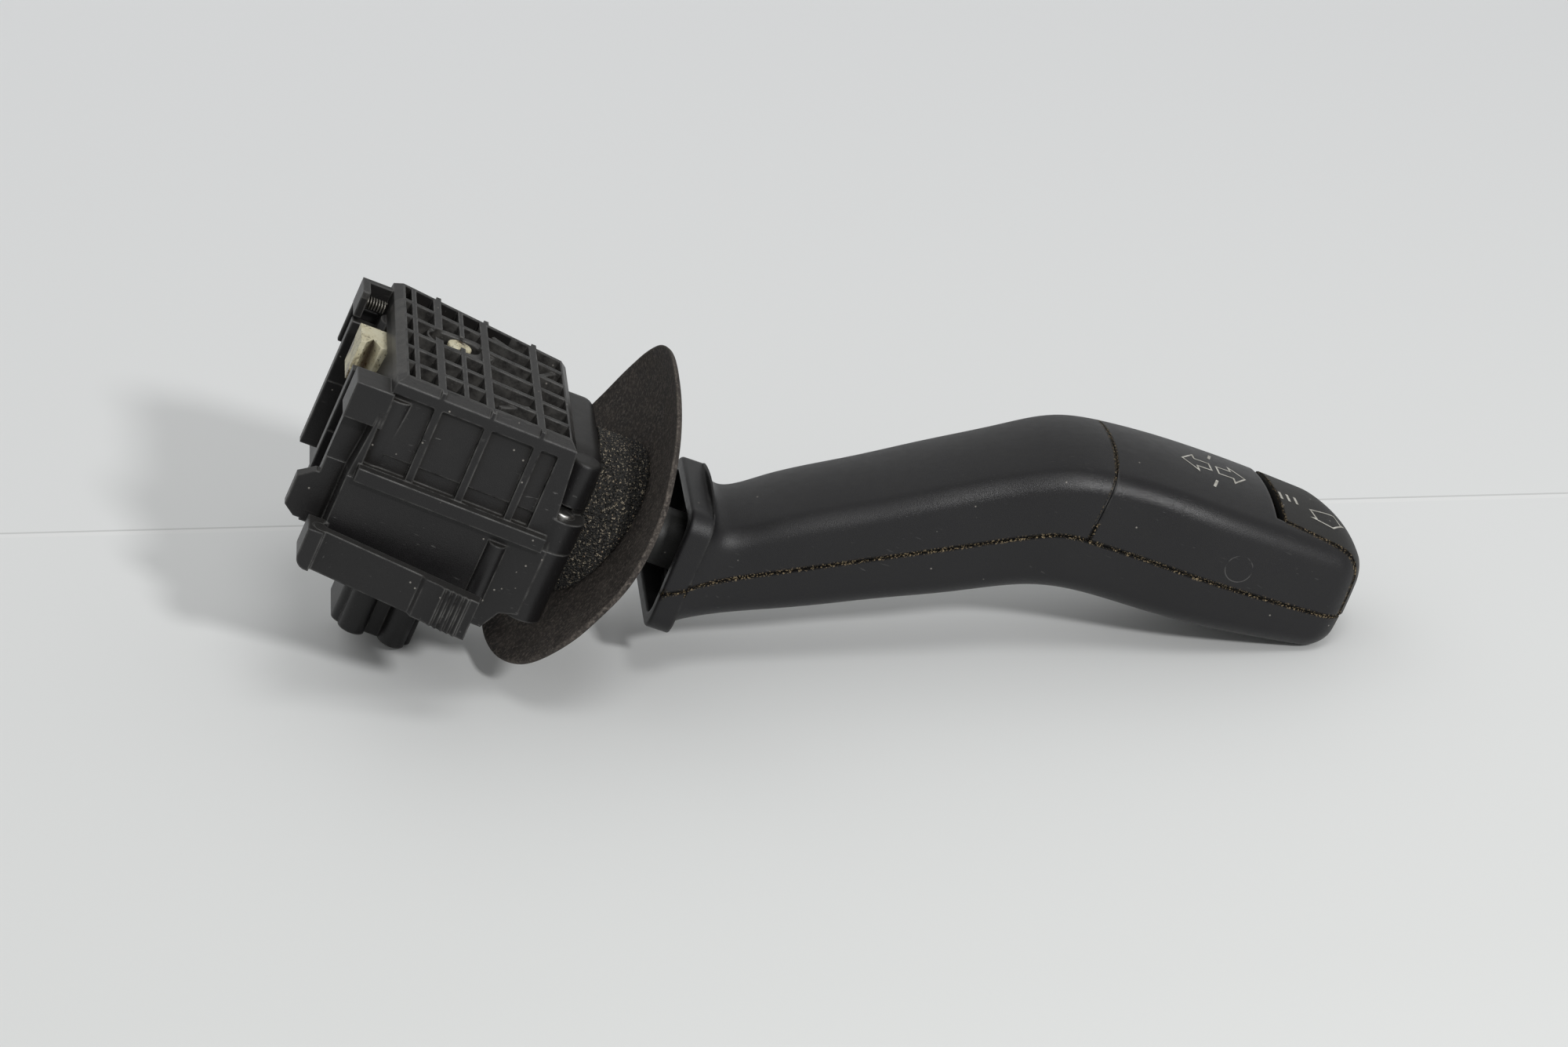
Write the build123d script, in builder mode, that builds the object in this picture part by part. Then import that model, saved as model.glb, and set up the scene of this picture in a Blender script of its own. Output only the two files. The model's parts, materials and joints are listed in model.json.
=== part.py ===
"""Combination stalk switch: a ribbed switch case, a sealed gimbal lever and a cranked two-shell grip.

Every piece is modelled in the switch frame: origin where the swing axis and the tilt axis cross, +X out along
the lever neck, +Y to the far side, +Z towards the ribbed cover.  The last section lays the whole switch down
on its connector foot, its seal and its grip belly, which gives the frame the STEP files are written in.
"""
import os
from math import cos, radians, sin, tan

from build123d import *

# ---------------------------------------- driving dimensions (mm, degrees)
# switch case
case_back = -29.0            # x of the rear end wall
case_front = 9.0             # x of the front end wall
near_front, near_rear = -23.3, -21.3   # y of the near wall, outside, at the parting plane
far_front, far_rear = 19.4, 30.8       # the far wall flares towards the rear
parting = -1.2               # z of the joint between cover and tray
cover_top = 19.0             # z of the tops of the cover ribs
tray_bottom = -19.4          # z of the underside of the tray
wall = 2.4                   # side and end walls
floor_wall = 1.8             # under the rib pockets and at the tray bottom
side_draft = 6.0             # lean of the cover's walls
edge_chamfer = 1.3
rib_depth = 2.7              # depth of the pockets between the cover ribs
rib_thick = 1.5              # main cover ribs
thin_rib = 0.9               # secondary cover ribs
main_rib_stations = (-19.0, -9.9, -0.2)
thin_rib_stations = (-23.6, -14.4)
rim_thick = 1.6              # frame round the rib field
long_rib_count = 5
panel_depth = 1.1            # how far the side panels sit behind the side ribs
panel_low, panel_high = 1.6, 15.8
panel_step = 4.4             # below this the panel is sunk a little deeper
step_depth = 0.35
side_rib_stations = (-28.0, -18.6, -9.2, 0.2, 4.8)
side_rib_thick = 1.4
ledge_thick = 2.7
ledge_end = 1.2              # the ledge stops short of the end walls
ledge_reach = 1.7            # how far the ledge stands out from the side walls
nose_length = 5.0            # round nose in front of the front wall
shoulder_half_width, shoulder_top = 17.6, 15.8
shoulder_round = 7.0
shoulder_front_round = 2.6
chin_bottom, chin_round = -12.4, 5.0
boss_x, boss_y = 9.8, -19.0  # corner boss that carries the return post
boss_radius = 4.2
boss_top = 5.0
post_radius = 2.1
post_proud = 0.6

# connector foot under the tray
foot_x, foot_y = -8.4, 12.6
foot_length, foot_width = 15.8, 15.6
foot_end = -40.6             # z of the mouth of the foot
foot_wall = 1.6
socket_depth = 13.0
pin_columns, pin_rows = 4, 2
pin_pitch = 2.8
pin_size = 0.8

foot_bead_radius = 2.6
pin_play = 0.06
heel_x, heel_z = 3.8, -15.6  # the tray's underside steps up in front of the heel
bead_x, bead_radius, bead_height = 0.4, 1.7, 11.8
screw_spots = ((-25.4, -17.0), (-25.4, 17.0), (-0.6, -17.0), (-0.6, 17.0))
screw_radius = 1.3
screw_play = 0.15
screw_head_radius, screw_head_thick = 2.5, 1.6
screw_bite = 9.0             # thread held in the cover's columns
column_radius = 3.0
post_seat = 4.0              # depth the return post sits in its boss

# lever, carrier and their axes
neck_radius = 5.5
bore_radius = 2.6
swing_limit = 8.0            # turn signal, each way
tilt_limit = 6.0             # flash to pass one way, high beam the other
carrier_half_width = 12.0
carrier_half_height = 10.6
carrier_wall = 2.8
carrier_back = -14.0
carrier_front = 3.4
trunnion_radius = 4.0
trunnion_length = 2.6
root_half_width = 8.8
root_half_height = 6.0
root_back = -8.2
lever_pin_radius = 1.5
running_gap = 0.05           # radial play in the pivots
part_gap = 0.4               # play between faces that pass each other
plunger_radius = 2.0
plunger_play = 0.04
plunger_tip = 1.6            # how far a plunger stands out of its bore
spring_wall = 0.5

# contacts
board_z = -15.2
board_thick = 1.4
contact_thick = 0.3

board_back, board_front = -24.4, 1.8
board_half_width = 13.6
board_tab_length, board_tab_width = 11.6, 12.0    # widens the board under the terminals
board_tab_reach = 3.2
peg_inset, peg_radius = 3.0, 1.4
ledge_under_cam = 2.0
track_radii = (9.4, 12.6)
track_width = 1.8
pin_inset = 4.0              # from the mouth of the foot to the pins' ends
pin_stub = 0.8
shoe_x, shoe_length, shoe_half_width, shoe_thick = -8.6, 9.6, 7.5, 1.8
wiper_gap = 0.3
wiper_half = 0.5
plunger_boss_length = 5.6
turn_plunger_length = 5.4
track_gap = 0.3
notch_depth = 0.7
cam_rise = 2.0               # how far the cam's horns reach past the track
cam_half_height, cam_half_width = 3.6, 7.0
root_front = 3.6
beam_bore_depth, beam_plunger_length, beam_tip = 5.6, 5.2, 2.5
neck_end = 44.0
tongue_length, tongue_half_thick, tongue_half_width = 24.0, 4.0, 6.0
saddle_stations = (7.0, 20.0)     # webs round the tongue, from the elbow
saddle_thick = 2.4

# seal
seal_x, seal_y, seal_z = 18.6, -1.4, -0.1
seal_radius = 31.4
seal_bulge = 3.2
seal_tilt, seal_yaw = 10.7, 6.4    # the skirt's top leans out over the lever, and its near side too
seal_thick = 1.2
seal_hole = 11.4             # round the neck, so off the skirt's own middle
glue_gap = 0.06              # between the skirt's dish and the foam
foam_radius, foam_z = 15.8, -0.9
foam_length = 16.0           # before the dish is taken out of it

# grip
collar_x, collar_tilt = 33.4, 2.0
collar_width, collar_height, collar_thick = 30.4, 24.6, 4.4
collar_drop = 0.7            # the collar hangs this far below the neck's axis
collar_radius = 4.0
collar_rim = 2.2
inner_angle = 31.5           # climb of the inner grip
outer_angle = 4.8            # climb of the outer grip
elbow_x, elbow_z = 49.0, 4.4
inner_run = 58.0             # elbow to crank, along the inner grip
outer_run = 57.4             # crank to tip, along the outer grip
outer_roll = 7.0             # the outer grip leans towards the driver
grip_wall = 1.8
grip_width, grip_thick = 32.6, 23.2   # at the broadest station
neck_width, neck_thick = 25.4, 17.0   # where the grip leaves the collar
seam_gap = 0.16
seam_drop = 2.6              # outer seam below the centre line
crown = 2.3                  # rise of the grip's broad faces
upper_round, lower_round = 4.6, 6.6
tip_round = 11.0             # length over which the tip closes
tip_power = 2.4              # squareness of the tip
tip_stations = (10.0, 7.5, 5.0, 2.8, 1.2, 0.3)

seam_lead = 24.0             # how far the seam runs back from the elbow, past the collar
seam_round = 16.0
split_x, split_bow = 100.3, 1.9   # joint between the inner and the outer upper shell

lead_radius, lead_bend = 0.9, 12.0

# end button
button_length = 19.6
button_gap = 1.9
button_side_gap = 0.35
button_travel = 1.5
button_proud = 1.9           # the button wraps over the shells' ends by this much
button_near_rail = 5.4       # shell left standing beside the button, near side
button_far_rail = 3.2
stem_radius = 1.6
stem_root, stem_height = 2.0, 0.8    # behind the tip, above the centre line
switch_front, switch_length, switch_height = 11.5, 6.2, 4.6
board_height, switch_board_thick = -3.4, 1.2

# cancelling pawl
pawl_pin_x, pawl_pin_y = -14.6, 7.6
pawl_pin_radius = 2.3
pawl_slot_width = 5.4
pawl_slot_spare = 2.4        # slot left beyond the pin's travel
pawl_travel = 3.0
pawl_bottom = 11.1           # underside of the pawl's arm, just over the carrier
pawl_thick = 3.0
pawl_eye = 4.3               # radius of the eye round the pin
pawl_notch, pawl_notch_depth = 2.8, 2.6    # grease notch in the nose's near side
pawl_notch_start = 1.0
nose_bottom, nose_block = 6.2, 11.0
nose_ease = 0.3              # the nose block narrows towards the pin
pin_sunk = 0.7               # pin's end below the cover ribs
pawl_swing = 7.0
pawl_nose = 17.6             # pin axis to the tip of the nose
pawl_width = 8.4
hook_x, hook_thick = -33.0, 1.4
hook_spring_y, hook_spring_z, hook_spring_radius = 21.0, 15.0, 1.2
hook_arm_y, hook_half_height = 25.6, 2.6
hook_seat = 1.2              # the hook reaches this far past the spring's near side

# cheek block on the cover's rear wall
cheek_reach, cheek_width, cheek_height = 7.0, 7.0, 7.0
cheek_y, cheek_bottom = -16.5, 8.5

# release latch on the near side of the tray
latch_root_x, latch_root_y = -29.8, -24.0
latch_length = 30.8
latch_spread = 12.0
latch_thick = 2.0
latch_height = 7.8
latch_z = -15.0
root_round = 2.4             # rear lower corner of the latch's root
serration_count = 5
serration_depth = 0.45
serration_pitch, serration_end = 1.15, 1.6
latch_step = 0.8             # the finger pad stands this far out from the arm

# rear guide rails
rail_reach = 3.8
fin_reach = 7.2              # the near rail's lower end stands out as a fin
fin_top, fin_bottom = -4.6, -12.6
fin_toe = 1.6
rail_thick = 2.2
rail_stations = (-15.0, -3.6, 19.4)
rail_bottom, rail_top = -14.6, 11.5

# how the switch lies on a table
rest_tilt = 24.5

os.makedirs("parts", exist_ok=True)
case_length = case_front - case_back
cover_height = cover_top - parting
tray_height = parting - tray_bottom

# ---------------------------------------- cover: the ribbed upper half of the case
field_inset = cover_height * tan(radians(side_draft)) + rim_thick
field_back, field_front = case_back + field_inset, case_front - field_inset
pocket_floor = cover_top - rib_depth
cavity_top = pocket_floor - floor_wall
bearing_boss_radius = trunnion_radius + 2.4
opening_half_width = neck_radius + (case_front + nose_length) * tan(radians(swing_limit)) + part_gap
opening_half_height = neck_radius + (case_front + nose_length) * tan(radians(tilt_limit)) + part_gap
pawl_slot_length = 2 * pawl_pin_radius + pawl_travel + pawl_slot_spare
hook_root = case_back + wall + 2 * part_gap
hook_tip_y = hook_spring_y - hook_spring_radius - hook_seat
window_width = pawl_width + 2 * (pawl_nose * tan(radians(pawl_swing)) + part_gap)
pin_field = (foot_x - 1.4, foot_y)
knuckle_radius = latch_thick / 2 + 0.5
socket_radius = knuckle_radius + 0.9


def near_wall(x):
    """y of the near wall, outside, at the parting plane."""
    return near_front + (near_rear - near_front) * (case_front - x) / case_length


def far_wall(x):
    """y of the far wall, outside, at the parting plane."""
    return far_front + (far_rear - far_front) * (case_front - x) / case_length


def case_plan(inset, end_inset):
    """Corners of the case in plan, drawn in from the outside at the sides and at the ends."""
    back, front = case_back + end_inset, case_front - end_inset
    return ((back, near_wall(back) + inset), (front, near_wall(front) + inset),
            (front, far_wall(front) - inset), (back, far_wall(back) - inset))


def rib_cells():
    """Corners of every pocket between the cover ribs."""
    ribs = sorted([(x, rib_thick) for x in main_rib_stations] + [(x, thin_rib) for x in thin_rib_stations])
    starts = [field_back] + [x + thick / 2 for x, thick in ribs]
    ends = [x - thick / 2 for x, thick in ribs] + [field_front]
    for low, high in zip(starts, ends):
        for row in range(long_rib_count + 1):
            corners = []
            for x, edge in ((low, 0), (high, 0), (high, 1), (low, 1)):
                near = near_wall(x) + field_inset
                pitch = (far_wall(x) - field_inset - near) / (long_rib_count + 1)
                corners.append((x, near + pitch * (row + edge) + thin_rib * (0.5 - edge)))
            yield corners


def side_plane(side):
    """Outer face of the cover's drafted wall, its x towards the front; side is -1 near and +1 far."""
    start, end = (near_rear, near_front) if side < 0 else (far_rear, far_front)
    edge = Vector(case_length, end - start, 0).normalized()
    outward = Vector(-side * edge.Y, side * edge.X, 0)
    lean = outward * cos(radians(side_draft)) + Vector(0, 0, sin(radians(side_draft)))
    return Plane(origin=(0, near_wall(0) if side < 0 else far_wall(0), parting), x_dir=edge, z_dir=lean)


with BuildPart() as case_cover:
    with BuildSketch(Plane.XY.offset(parting)):
        Polygon(*case_plan(0, 0), align=None)
    extrude(amount=cover_height, taper=side_draft)
    chamfer(case_cover.faces().sort_by(Axis.Z)[-1].edges(), length=edge_chamfer)
    # the side ribs carry on over the chamfer to meet the cover ribs
    for side in (-1, 1):
        for x in side_rib_stations[1:-1]:
            outside = near_wall(x) if side < 0 else far_wall(x)
            edge_y = outside - side * cover_height * tan(radians(side_draft))
            with BuildSketch(Plane.YZ.offset(x - thin_rib / 2)):
                Polygon((edge_y, cover_top), (edge_y - side * (edge_chamfer + rim_thick / 2), cover_top),
                        (edge_y - side * rim_thick / 2, cover_top - edge_chamfer - rim_thick / 2),
                        (edge_y + side * edge_chamfer * tan(radians(side_draft)), cover_top - edge_chamfer),
                        align=None)
            extrude(amount=thin_rib)
    # pockets between the ribs
    with BuildSketch(Plane.XY.offset(pocket_floor)):
        for corners in rib_cells():
            Polygon(*corners, align=None)
    extrude(amount=rib_depth, mode=Mode.SUBTRACT)
    # flat surround of the pawl slot, and three diagonal gussets
    with BuildSketch(Plane.XY.offset(pocket_floor)):
        with Locations((pawl_pin_x, pawl_pin_y)):
            SlotOverall(pawl_slot_length + 2 * rib_thick, pawl_slot_width + 2 * rib_thick)
        for x, y, turn in ((-4.8, -12.6, 38), (3.0, 9.6, 52), (-4.8, 15.2, -38)):
            with Locations(Location((x, y), turn)):
                Rectangle(7.6, thin_rib)
    extrude(amount=rib_depth - 0.6)
    # side panels behind the side ribs, near and far
    for side in (-1, 1):
        with BuildSketch(side_plane(side)):
            for low, high in zip(side_rib_stations, side_rib_stations[1:]):
                with Locations(((low + high) / 2, -side * ((panel_low + panel_high) / 2 - parting))):
                    RectangleRounded(high - low - side_rib_thick, panel_high - panel_low, 0.4)
        extrude(amount=-panel_depth, mode=Mode.SUBTRACT)
        with BuildSketch(side_plane(side)):
            for low, high in zip(side_rib_stations, side_rib_stations[1:]):
                with Locations(((low + high) / 2, -side * ((panel_low + panel_step) / 2 - parting))):
                    Rectangle(high - low - side_rib_thick, panel_step - panel_low)
        extrude(amount=-panel_depth - step_depth, mode=Mode.SUBTRACT)
    # ledge along both sides
    with BuildSketch(Plane.XY.offset(parting)):
        Polygon(*case_plan(-ledge_reach, ledge_end), align=None)
    extrude(amount=ledge_thick)
    # broad rounded shoulder over the neck
    with BuildSketch(Plane.YZ.offset(case_front - 2 * wall)):
        with Locations((0, (shoulder_top + parting) / 2 - shoulder_round)):
            RectangleRounded(2 * shoulder_half_width, shoulder_top - parting + 2 * shoulder_round,
                             shoulder_round)
        with Locations((0, parting - shoulder_top)):
            Rectangle(2 * shoulder_half_width, 2 * shoulder_top, mode=Mode.SUBTRACT)
    extrude(amount=2 * wall + nose_length)
    front_rim = case_cover.faces().sort_by(Axis.X)[-1].edges()
    fillet(front_rim.filter_by(lambda edge: edge.center().Z > parting + part_gap), radius=shoulder_front_round)
    # corner boss
    with BuildSketch(Plane.XY.offset(parting)):
        with Locations((boss_x, boss_y)):
            Circle(boss_radius)
    extrude(amount=boss_top - parting)
    # cavity with the bearing boss and the screw columns standing in it
    with BuildSketch(Plane.XY.offset(parting)):
        Polygon(*case_plan(wall, wall), align=None)
    extrude(amount=cavity_top - parting, taper=side_draft, mode=Mode.SUBTRACT)
    with BuildSketch(Plane.XY.offset(carrier_half_height + part_gap)):
        Circle(bearing_boss_radius)
    extrude(amount=cavity_top - carrier_half_height - part_gap)
    with BuildSketch(Plane.XY.offset(parting)):
        with Locations(*screw_spots):
            Circle(column_radius)
    extrude(amount=cavity_top - parting)
    with BuildSketch(Plane.XY.offset(parting)):
        with Locations(*screw_spots):
            Circle(screw_radius)
    extrude(amount=screw_bite, mode=Mode.SUBTRACT)
    with BuildSketch(Plane.XY.offset(carrier_half_height)):
        Circle(trunnion_radius + running_gap)
    extrude(amount=trunnion_length + 2 * part_gap, mode=Mode.SUBTRACT)
    # guide rails on the rear wall
    with BuildSketch(Plane.XY.offset(parting)):
        with Locations(*[(case_back - rail_reach / 2 + wall / 2, y) for y in rail_stations]):
            Rectangle(rail_reach + wall, rail_thick)
    extrude(amount=rail_top - parting)
    # cheek block beside the pawl's window
    with BuildSketch(Plane.XY.offset(cheek_bottom)):
        with Locations((case_back + wall - cheek_reach / 2, cheek_y)):
            Rectangle(cheek_reach, cheek_width)
    extrude(amount=cheek_height)
    # spring hook at the far rear corner
    with BuildSketch(Plane.XY.offset(hook_spring_z - hook_half_height)):
        with BuildLine():
            Polyline((hook_root, hook_arm_y), (hook_x, hook_arm_y), (hook_x, hook_tip_y),
                     (hook_x + hook_thick, hook_tip_y), (hook_x + hook_thick, hook_arm_y - hook_thick),
                     (hook_root, hook_arm_y - hook_thick), close=True)
        make_face()
    extrude(amount=2 * hook_half_height)
    # slot for the pawl pin, window for the pawl, opening for the neck
    with BuildSketch(Plane.XY.offset(cavity_top)):
        with Locations((pawl_pin_x - (pawl_slot_length - pawl_slot_width) / 4, pawl_pin_y)):
            SlotOverall(pawl_slot_length, pawl_slot_width)
    extrude(amount=cover_top - cavity_top, mode=Mode.SUBTRACT)
    with BuildSketch(Plane.YZ.offset(case_back - rail_reach)):
        with Locations((pawl_pin_y, (nose_bottom + pawl_bottom + pawl_thick) / 2)):
            Rectangle(window_width, pawl_bottom + pawl_thick - nose_bottom + 2 * part_gap)
    extrude(amount=rail_reach + 2 * wall, mode=Mode.SUBTRACT)
    with BuildSketch(Plane.YZ.offset(case_front - 2 * wall)):
        RectangleRounded(2 * opening_half_width, 2 * opening_half_height, neck_radius)
    extrude(amount=2 * wall + nose_length, mode=Mode.SUBTRACT)
    with BuildSketch(Plane.XY.offset(boss_top - post_seat)):
        with Locations((boss_x, boss_y)):
            Circle(post_radius)
    extrude(amount=post_seat + 2 * post_proud, mode=Mode.SUBTRACT)
case_cover.part.label = "case_cover"

# ---------------------------------------- tray: the lower half, with the connector foot
def heel_cut(grow):
    """Block in front of the heel, where the tray's underside steps up; grown to leave a wall behind it."""
    with BuildPart() as block:
        with BuildSketch(Plane.XZ):
            with BuildLine():
                Polyline((heel_x - grow, tray_bottom - 5.0), (heel_x - grow, tray_bottom),
                         (heel_x + 2.0 - grow, heel_z + grow),
                         (case_front, heel_z + 1.0 + grow), (case_front + 5.0, heel_z + 1.0 + grow),
                         (case_front + 5.0, tray_bottom - 5.0), close=True)
            make_face()
        extrude(amount=2 * far_rear, both=True)
    return block.part


with BuildPart() as tray_cavity:
    with BuildSketch(Plane.XY.offset(tray_bottom + floor_wall)):
        Polygon(*case_plan(wall, wall), align=None)
    extrude(amount=parting - tray_bottom - floor_wall)
    add(heel_cut(wall), mode=Mode.SUBTRACT)

with BuildPart() as latch_root_block:
    with BuildSketch(Plane.XY.offset(latch_z - latch_height / 2)):
        Polygon((latch_root_x - socket_radius, latch_root_y - socket_radius),
                (latch_root_x + 0.2 * socket_radius, latch_root_y - socket_radius),
                (latch_root_x + 0.2 * socket_radius, latch_root_y + 0.9 * socket_radius),
                (case_back + wall, near_rear + 1.0),
                (latch_root_x - socket_radius, near_rear + 1.0), align=None)
    extrude(amount=latch_height)
    rear_foot = latch_root_block.edges().filter_by(Axis.Y).group_by(Axis.X)[0].sort_by(Axis.Z)[0]
    fillet(rear_foot, radius=root_round)

with BuildPart() as case_tray:
    with BuildSketch(Plane.XY.offset(tray_bottom)):
        Polygon(*case_plan(0, 0), align=None)
    extrude(amount=tray_height)
    add(heel_cut(0.0), mode=Mode.SUBTRACT)
    with BuildSketch(Plane.YZ.offset(case_front - 2 * wall)):
        with Locations((0, (chin_bottom + parting) / 2 + chin_round)):
            RectangleRounded(2 * shoulder_half_width, parting - chin_bottom + 2 * chin_round, chin_round)
        with Locations((0, parting + shoulder_top)):
            Rectangle(2 * shoulder_half_width, 2 * shoulder_top, mode=Mode.SUBTRACT)
    extrude(amount=2 * wall + nose_length)
    front_rim = case_tray.faces().sort_by(Axis.X)[-1].edges()
    fillet(front_rim.filter_by(lambda edge: edge.center().Z < parting - part_gap), radius=shoulder_front_round)
    with BuildSketch(Plane.XY.offset(heel_z)):
        with Locations((boss_x, boss_y)):
            Circle(boss_radius)
    extrude(amount=parting - heel_z)
    # foot
    with BuildSketch(Plane.XY.offset(foot_end)):
        with Locations((foot_x, foot_y)):
            RectangleRounded(foot_length, foot_width, 2.5)
        with Locations((foot_x - foot_length / 4, foot_y - foot_width / 2),
                       (foot_x + foot_length / 4, foot_y - foot_width / 2)):
            Circle(foot_bead_radius)
    extrude(amount=tray_bottom + floor_wall - foot_end)
    # bead and slit on the near wall
    with BuildSketch(Plane.XY.offset(tray_bottom + 4.6)):
        with Locations((bead_x, near_wall(bead_x))):
            Circle(bead_radius)
    extrude(amount=bead_height)
    # cavity
    add(tray_cavity.part, mode=Mode.SUBTRACT)
    with BuildSketch(Plane.XY.offset(tray_bottom)):
        Circle(bearing_boss_radius)
        with Locations(*screw_spots):
            Circle(column_radius)
    extrude(amount=-carrier_half_height - part_gap - tray_bottom)
    with BuildSketch(Plane.XY.offset(tray_bottom)):
        with Locations(*screw_spots):
            Circle(column_radius)
    extrude(amount=parting - tray_bottom)
    with BuildSketch(Plane.XY.offset(-carrier_half_height)):
        Circle(trunnion_radius + running_gap)
    extrude(amount=-trunnion_length - 2 * part_gap, mode=Mode.SUBTRACT)
    with BuildSketch(Plane.XY.offset(tray_bottom + floor_wall)):
        with Locations(*[(x, y) for x in (board_back + peg_inset, board_front - peg_inset)
                         for y in (-board_half_width + peg_inset, board_half_width - peg_inset)]):
            Circle(peg_radius)
    extrude(amount=board_z - tray_bottom - floor_wall)
    with BuildSketch(Plane.XY.offset(tray_bottom + floor_wall)):
        with Locations((case_back + wall + ledge_under_cam / 2, 0)):
            Rectangle(ledge_under_cam, 2 * cam_half_width)
    extrude(amount=-cam_half_height - tray_bottom - floor_wall)
    # counterbored screw holes
    for radius, depth in ((screw_head_radius, screw_head_thick), (screw_radius, tray_height)):
        with BuildSketch(Plane.XY.offset(tray_bottom)):
            with Locations(*screw_spots):
                Circle(radius + screw_play)
        extrude(amount=depth, mode=Mode.SUBTRACT)
    # the socket, and the holes of the terminals in the core above it
    with BuildSketch(Plane.XY.offset(foot_end)):
        with Locations((foot_x, foot_y)):
            RectangleRounded(foot_length - 2 * foot_wall, foot_width - 2 * foot_wall, 1.0)
    extrude(amount=socket_depth, mode=Mode.SUBTRACT)
    with BuildSketch(Plane.XY.offset(foot_end + socket_depth)):
        with Locations(pin_field):
            with GridLocations(pin_pitch, pin_pitch, pin_columns, pin_rows):
                Rectangle(pin_size + pin_play, pin_size + pin_play)
    extrude(amount=tray_bottom + floor_wall - foot_end - socket_depth, mode=Mode.SUBTRACT)
    with BuildSketch(Plane.YZ.offset(case_front - 2 * wall)):
        RectangleRounded(2 * opening_half_width, 2 * opening_half_height, neck_radius)
    extrude(amount=2 * wall + nose_length, mode=Mode.SUBTRACT)
    # guide rails and the latch root
    with BuildSketch(Plane.XY.offset(rail_bottom)):
        with Locations(*[(case_back - rail_reach / 2 + wall / 2, y) for y in rail_stations]):
            Rectangle(rail_reach + wall, rail_thick)
    extrude(amount=parting - rail_bottom)
    with BuildSketch(Plane.XZ.offset(-rail_stations[0])):
        Polygon((case_back + wall, fin_top), (case_back - 0.6 * fin_reach, fin_top),
                (case_back - fin_reach, 0.75 * fin_top + 0.25 * fin_bottom), (case_back - fin_reach, fin_bottom),
                (case_back - 0.7 * fin_reach, fin_bottom - fin_toe), (case_back + wall, fin_bottom - fin_toe),
                align=None)
    extrude(amount=rail_thick / 2, both=True)
    add(latch_root_block.part)
    with BuildSketch(Plane.XY.offset(latch_z - latch_height / 2)):
        with Locations((latch_root_x, latch_root_y)):
            Circle(knuckle_radius + running_gap)
    extrude(amount=latch_height, mode=Mode.SUBTRACT)
case_tray.part.label = "case_tray"

# ---------------------------------------- screws and the return post
with BuildPart() as case_screws:
    for x, y in screw_spots:
        with BuildSketch(Plane.XY.offset(tray_bottom)):
            with Locations((x, y)):
                Circle(screw_head_radius)
        extrude(amount=screw_head_thick)
        with BuildSketch(Plane.XY.offset(tray_bottom)):
            with Locations((x, y)):
                Circle(screw_radius)
        extrude(amount=parting + screw_bite - tray_bottom - part_gap)
        with BuildSketch(Plane.XY.offset(tray_bottom)):
            with Locations((x, y)):
                RegularPolygon(0.45 * screw_head_radius, 6)
        extrude(amount=0.6 * screw_head_thick, mode=Mode.SUBTRACT)
case_screws.part.label = "case_screws"

with BuildPart() as return_post:
    with BuildSketch(Plane.XY.offset(boss_top - post_seat)):
        with Locations((boss_x, boss_y)):
            Circle(post_radius)
    extrude(amount=post_seat + post_proud)
    fillet(return_post.edges().filter_by(GeomType.CIRCLE).sort_by(Axis.Z)[-1], radius=0.4)
return_post.part.label = "return_post"

# ---------------------------------------- contact board, its tracks and the terminals
board_top = board_z + board_thick
with BuildPart() as contact_board:
    with BuildSketch(Plane.XY.offset(board_z)):
        with Locations(((board_back + board_front) / 2, 0)):
            RectangleRounded(board_front - board_back, 2 * board_half_width, 1.5)
        with Locations((pin_field[0], pin_field[1] - board_tab_width / 2 + board_tab_reach)):
            RectangleRounded(board_tab_length, board_tab_width, 1.0)
        Circle(bearing_boss_radius + part_gap, mode=Mode.SUBTRACT)
        with Locations(pin_field):
            with GridLocations(pin_pitch, pin_pitch, pin_columns, pin_rows):
                Rectangle(pin_size + pin_play, pin_size + pin_play, mode=Mode.SUBTRACT)
    extrude(amount=board_thick)
contact_board.part.label = "contact_board"

with BuildPart() as fixed_contacts:
    with BuildSketch(Plane.XY.offset(board_top)):
        for radius in track_radii:
            for start in (162.0, 185.0):
                with BuildLine():
                    inner = CenterArc((0, 0), radius - track_width / 2, start, 13.0)
                    outer = CenterArc((0, 0), radius + track_width / 2, start, 13.0)
                    Line(inner @ 0, outer @ 0)
                    Line(inner @ 1, outer @ 1)
                make_face()
    extrude(amount=contact_thick)
fixed_contacts.part.label = "fixed_contacts"

with BuildPart() as terminal_pins:
    with BuildSketch(Plane.XY.offset(foot_end + pin_inset)):
        with Locations(pin_field):
            with GridLocations(pin_pitch, pin_pitch, pin_columns, pin_rows):
                Rectangle(pin_size, pin_size)
    extrude(amount=board_top + pin_stub - foot_end - pin_inset)
terminal_pins.part.label = "terminal_pins"

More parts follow.
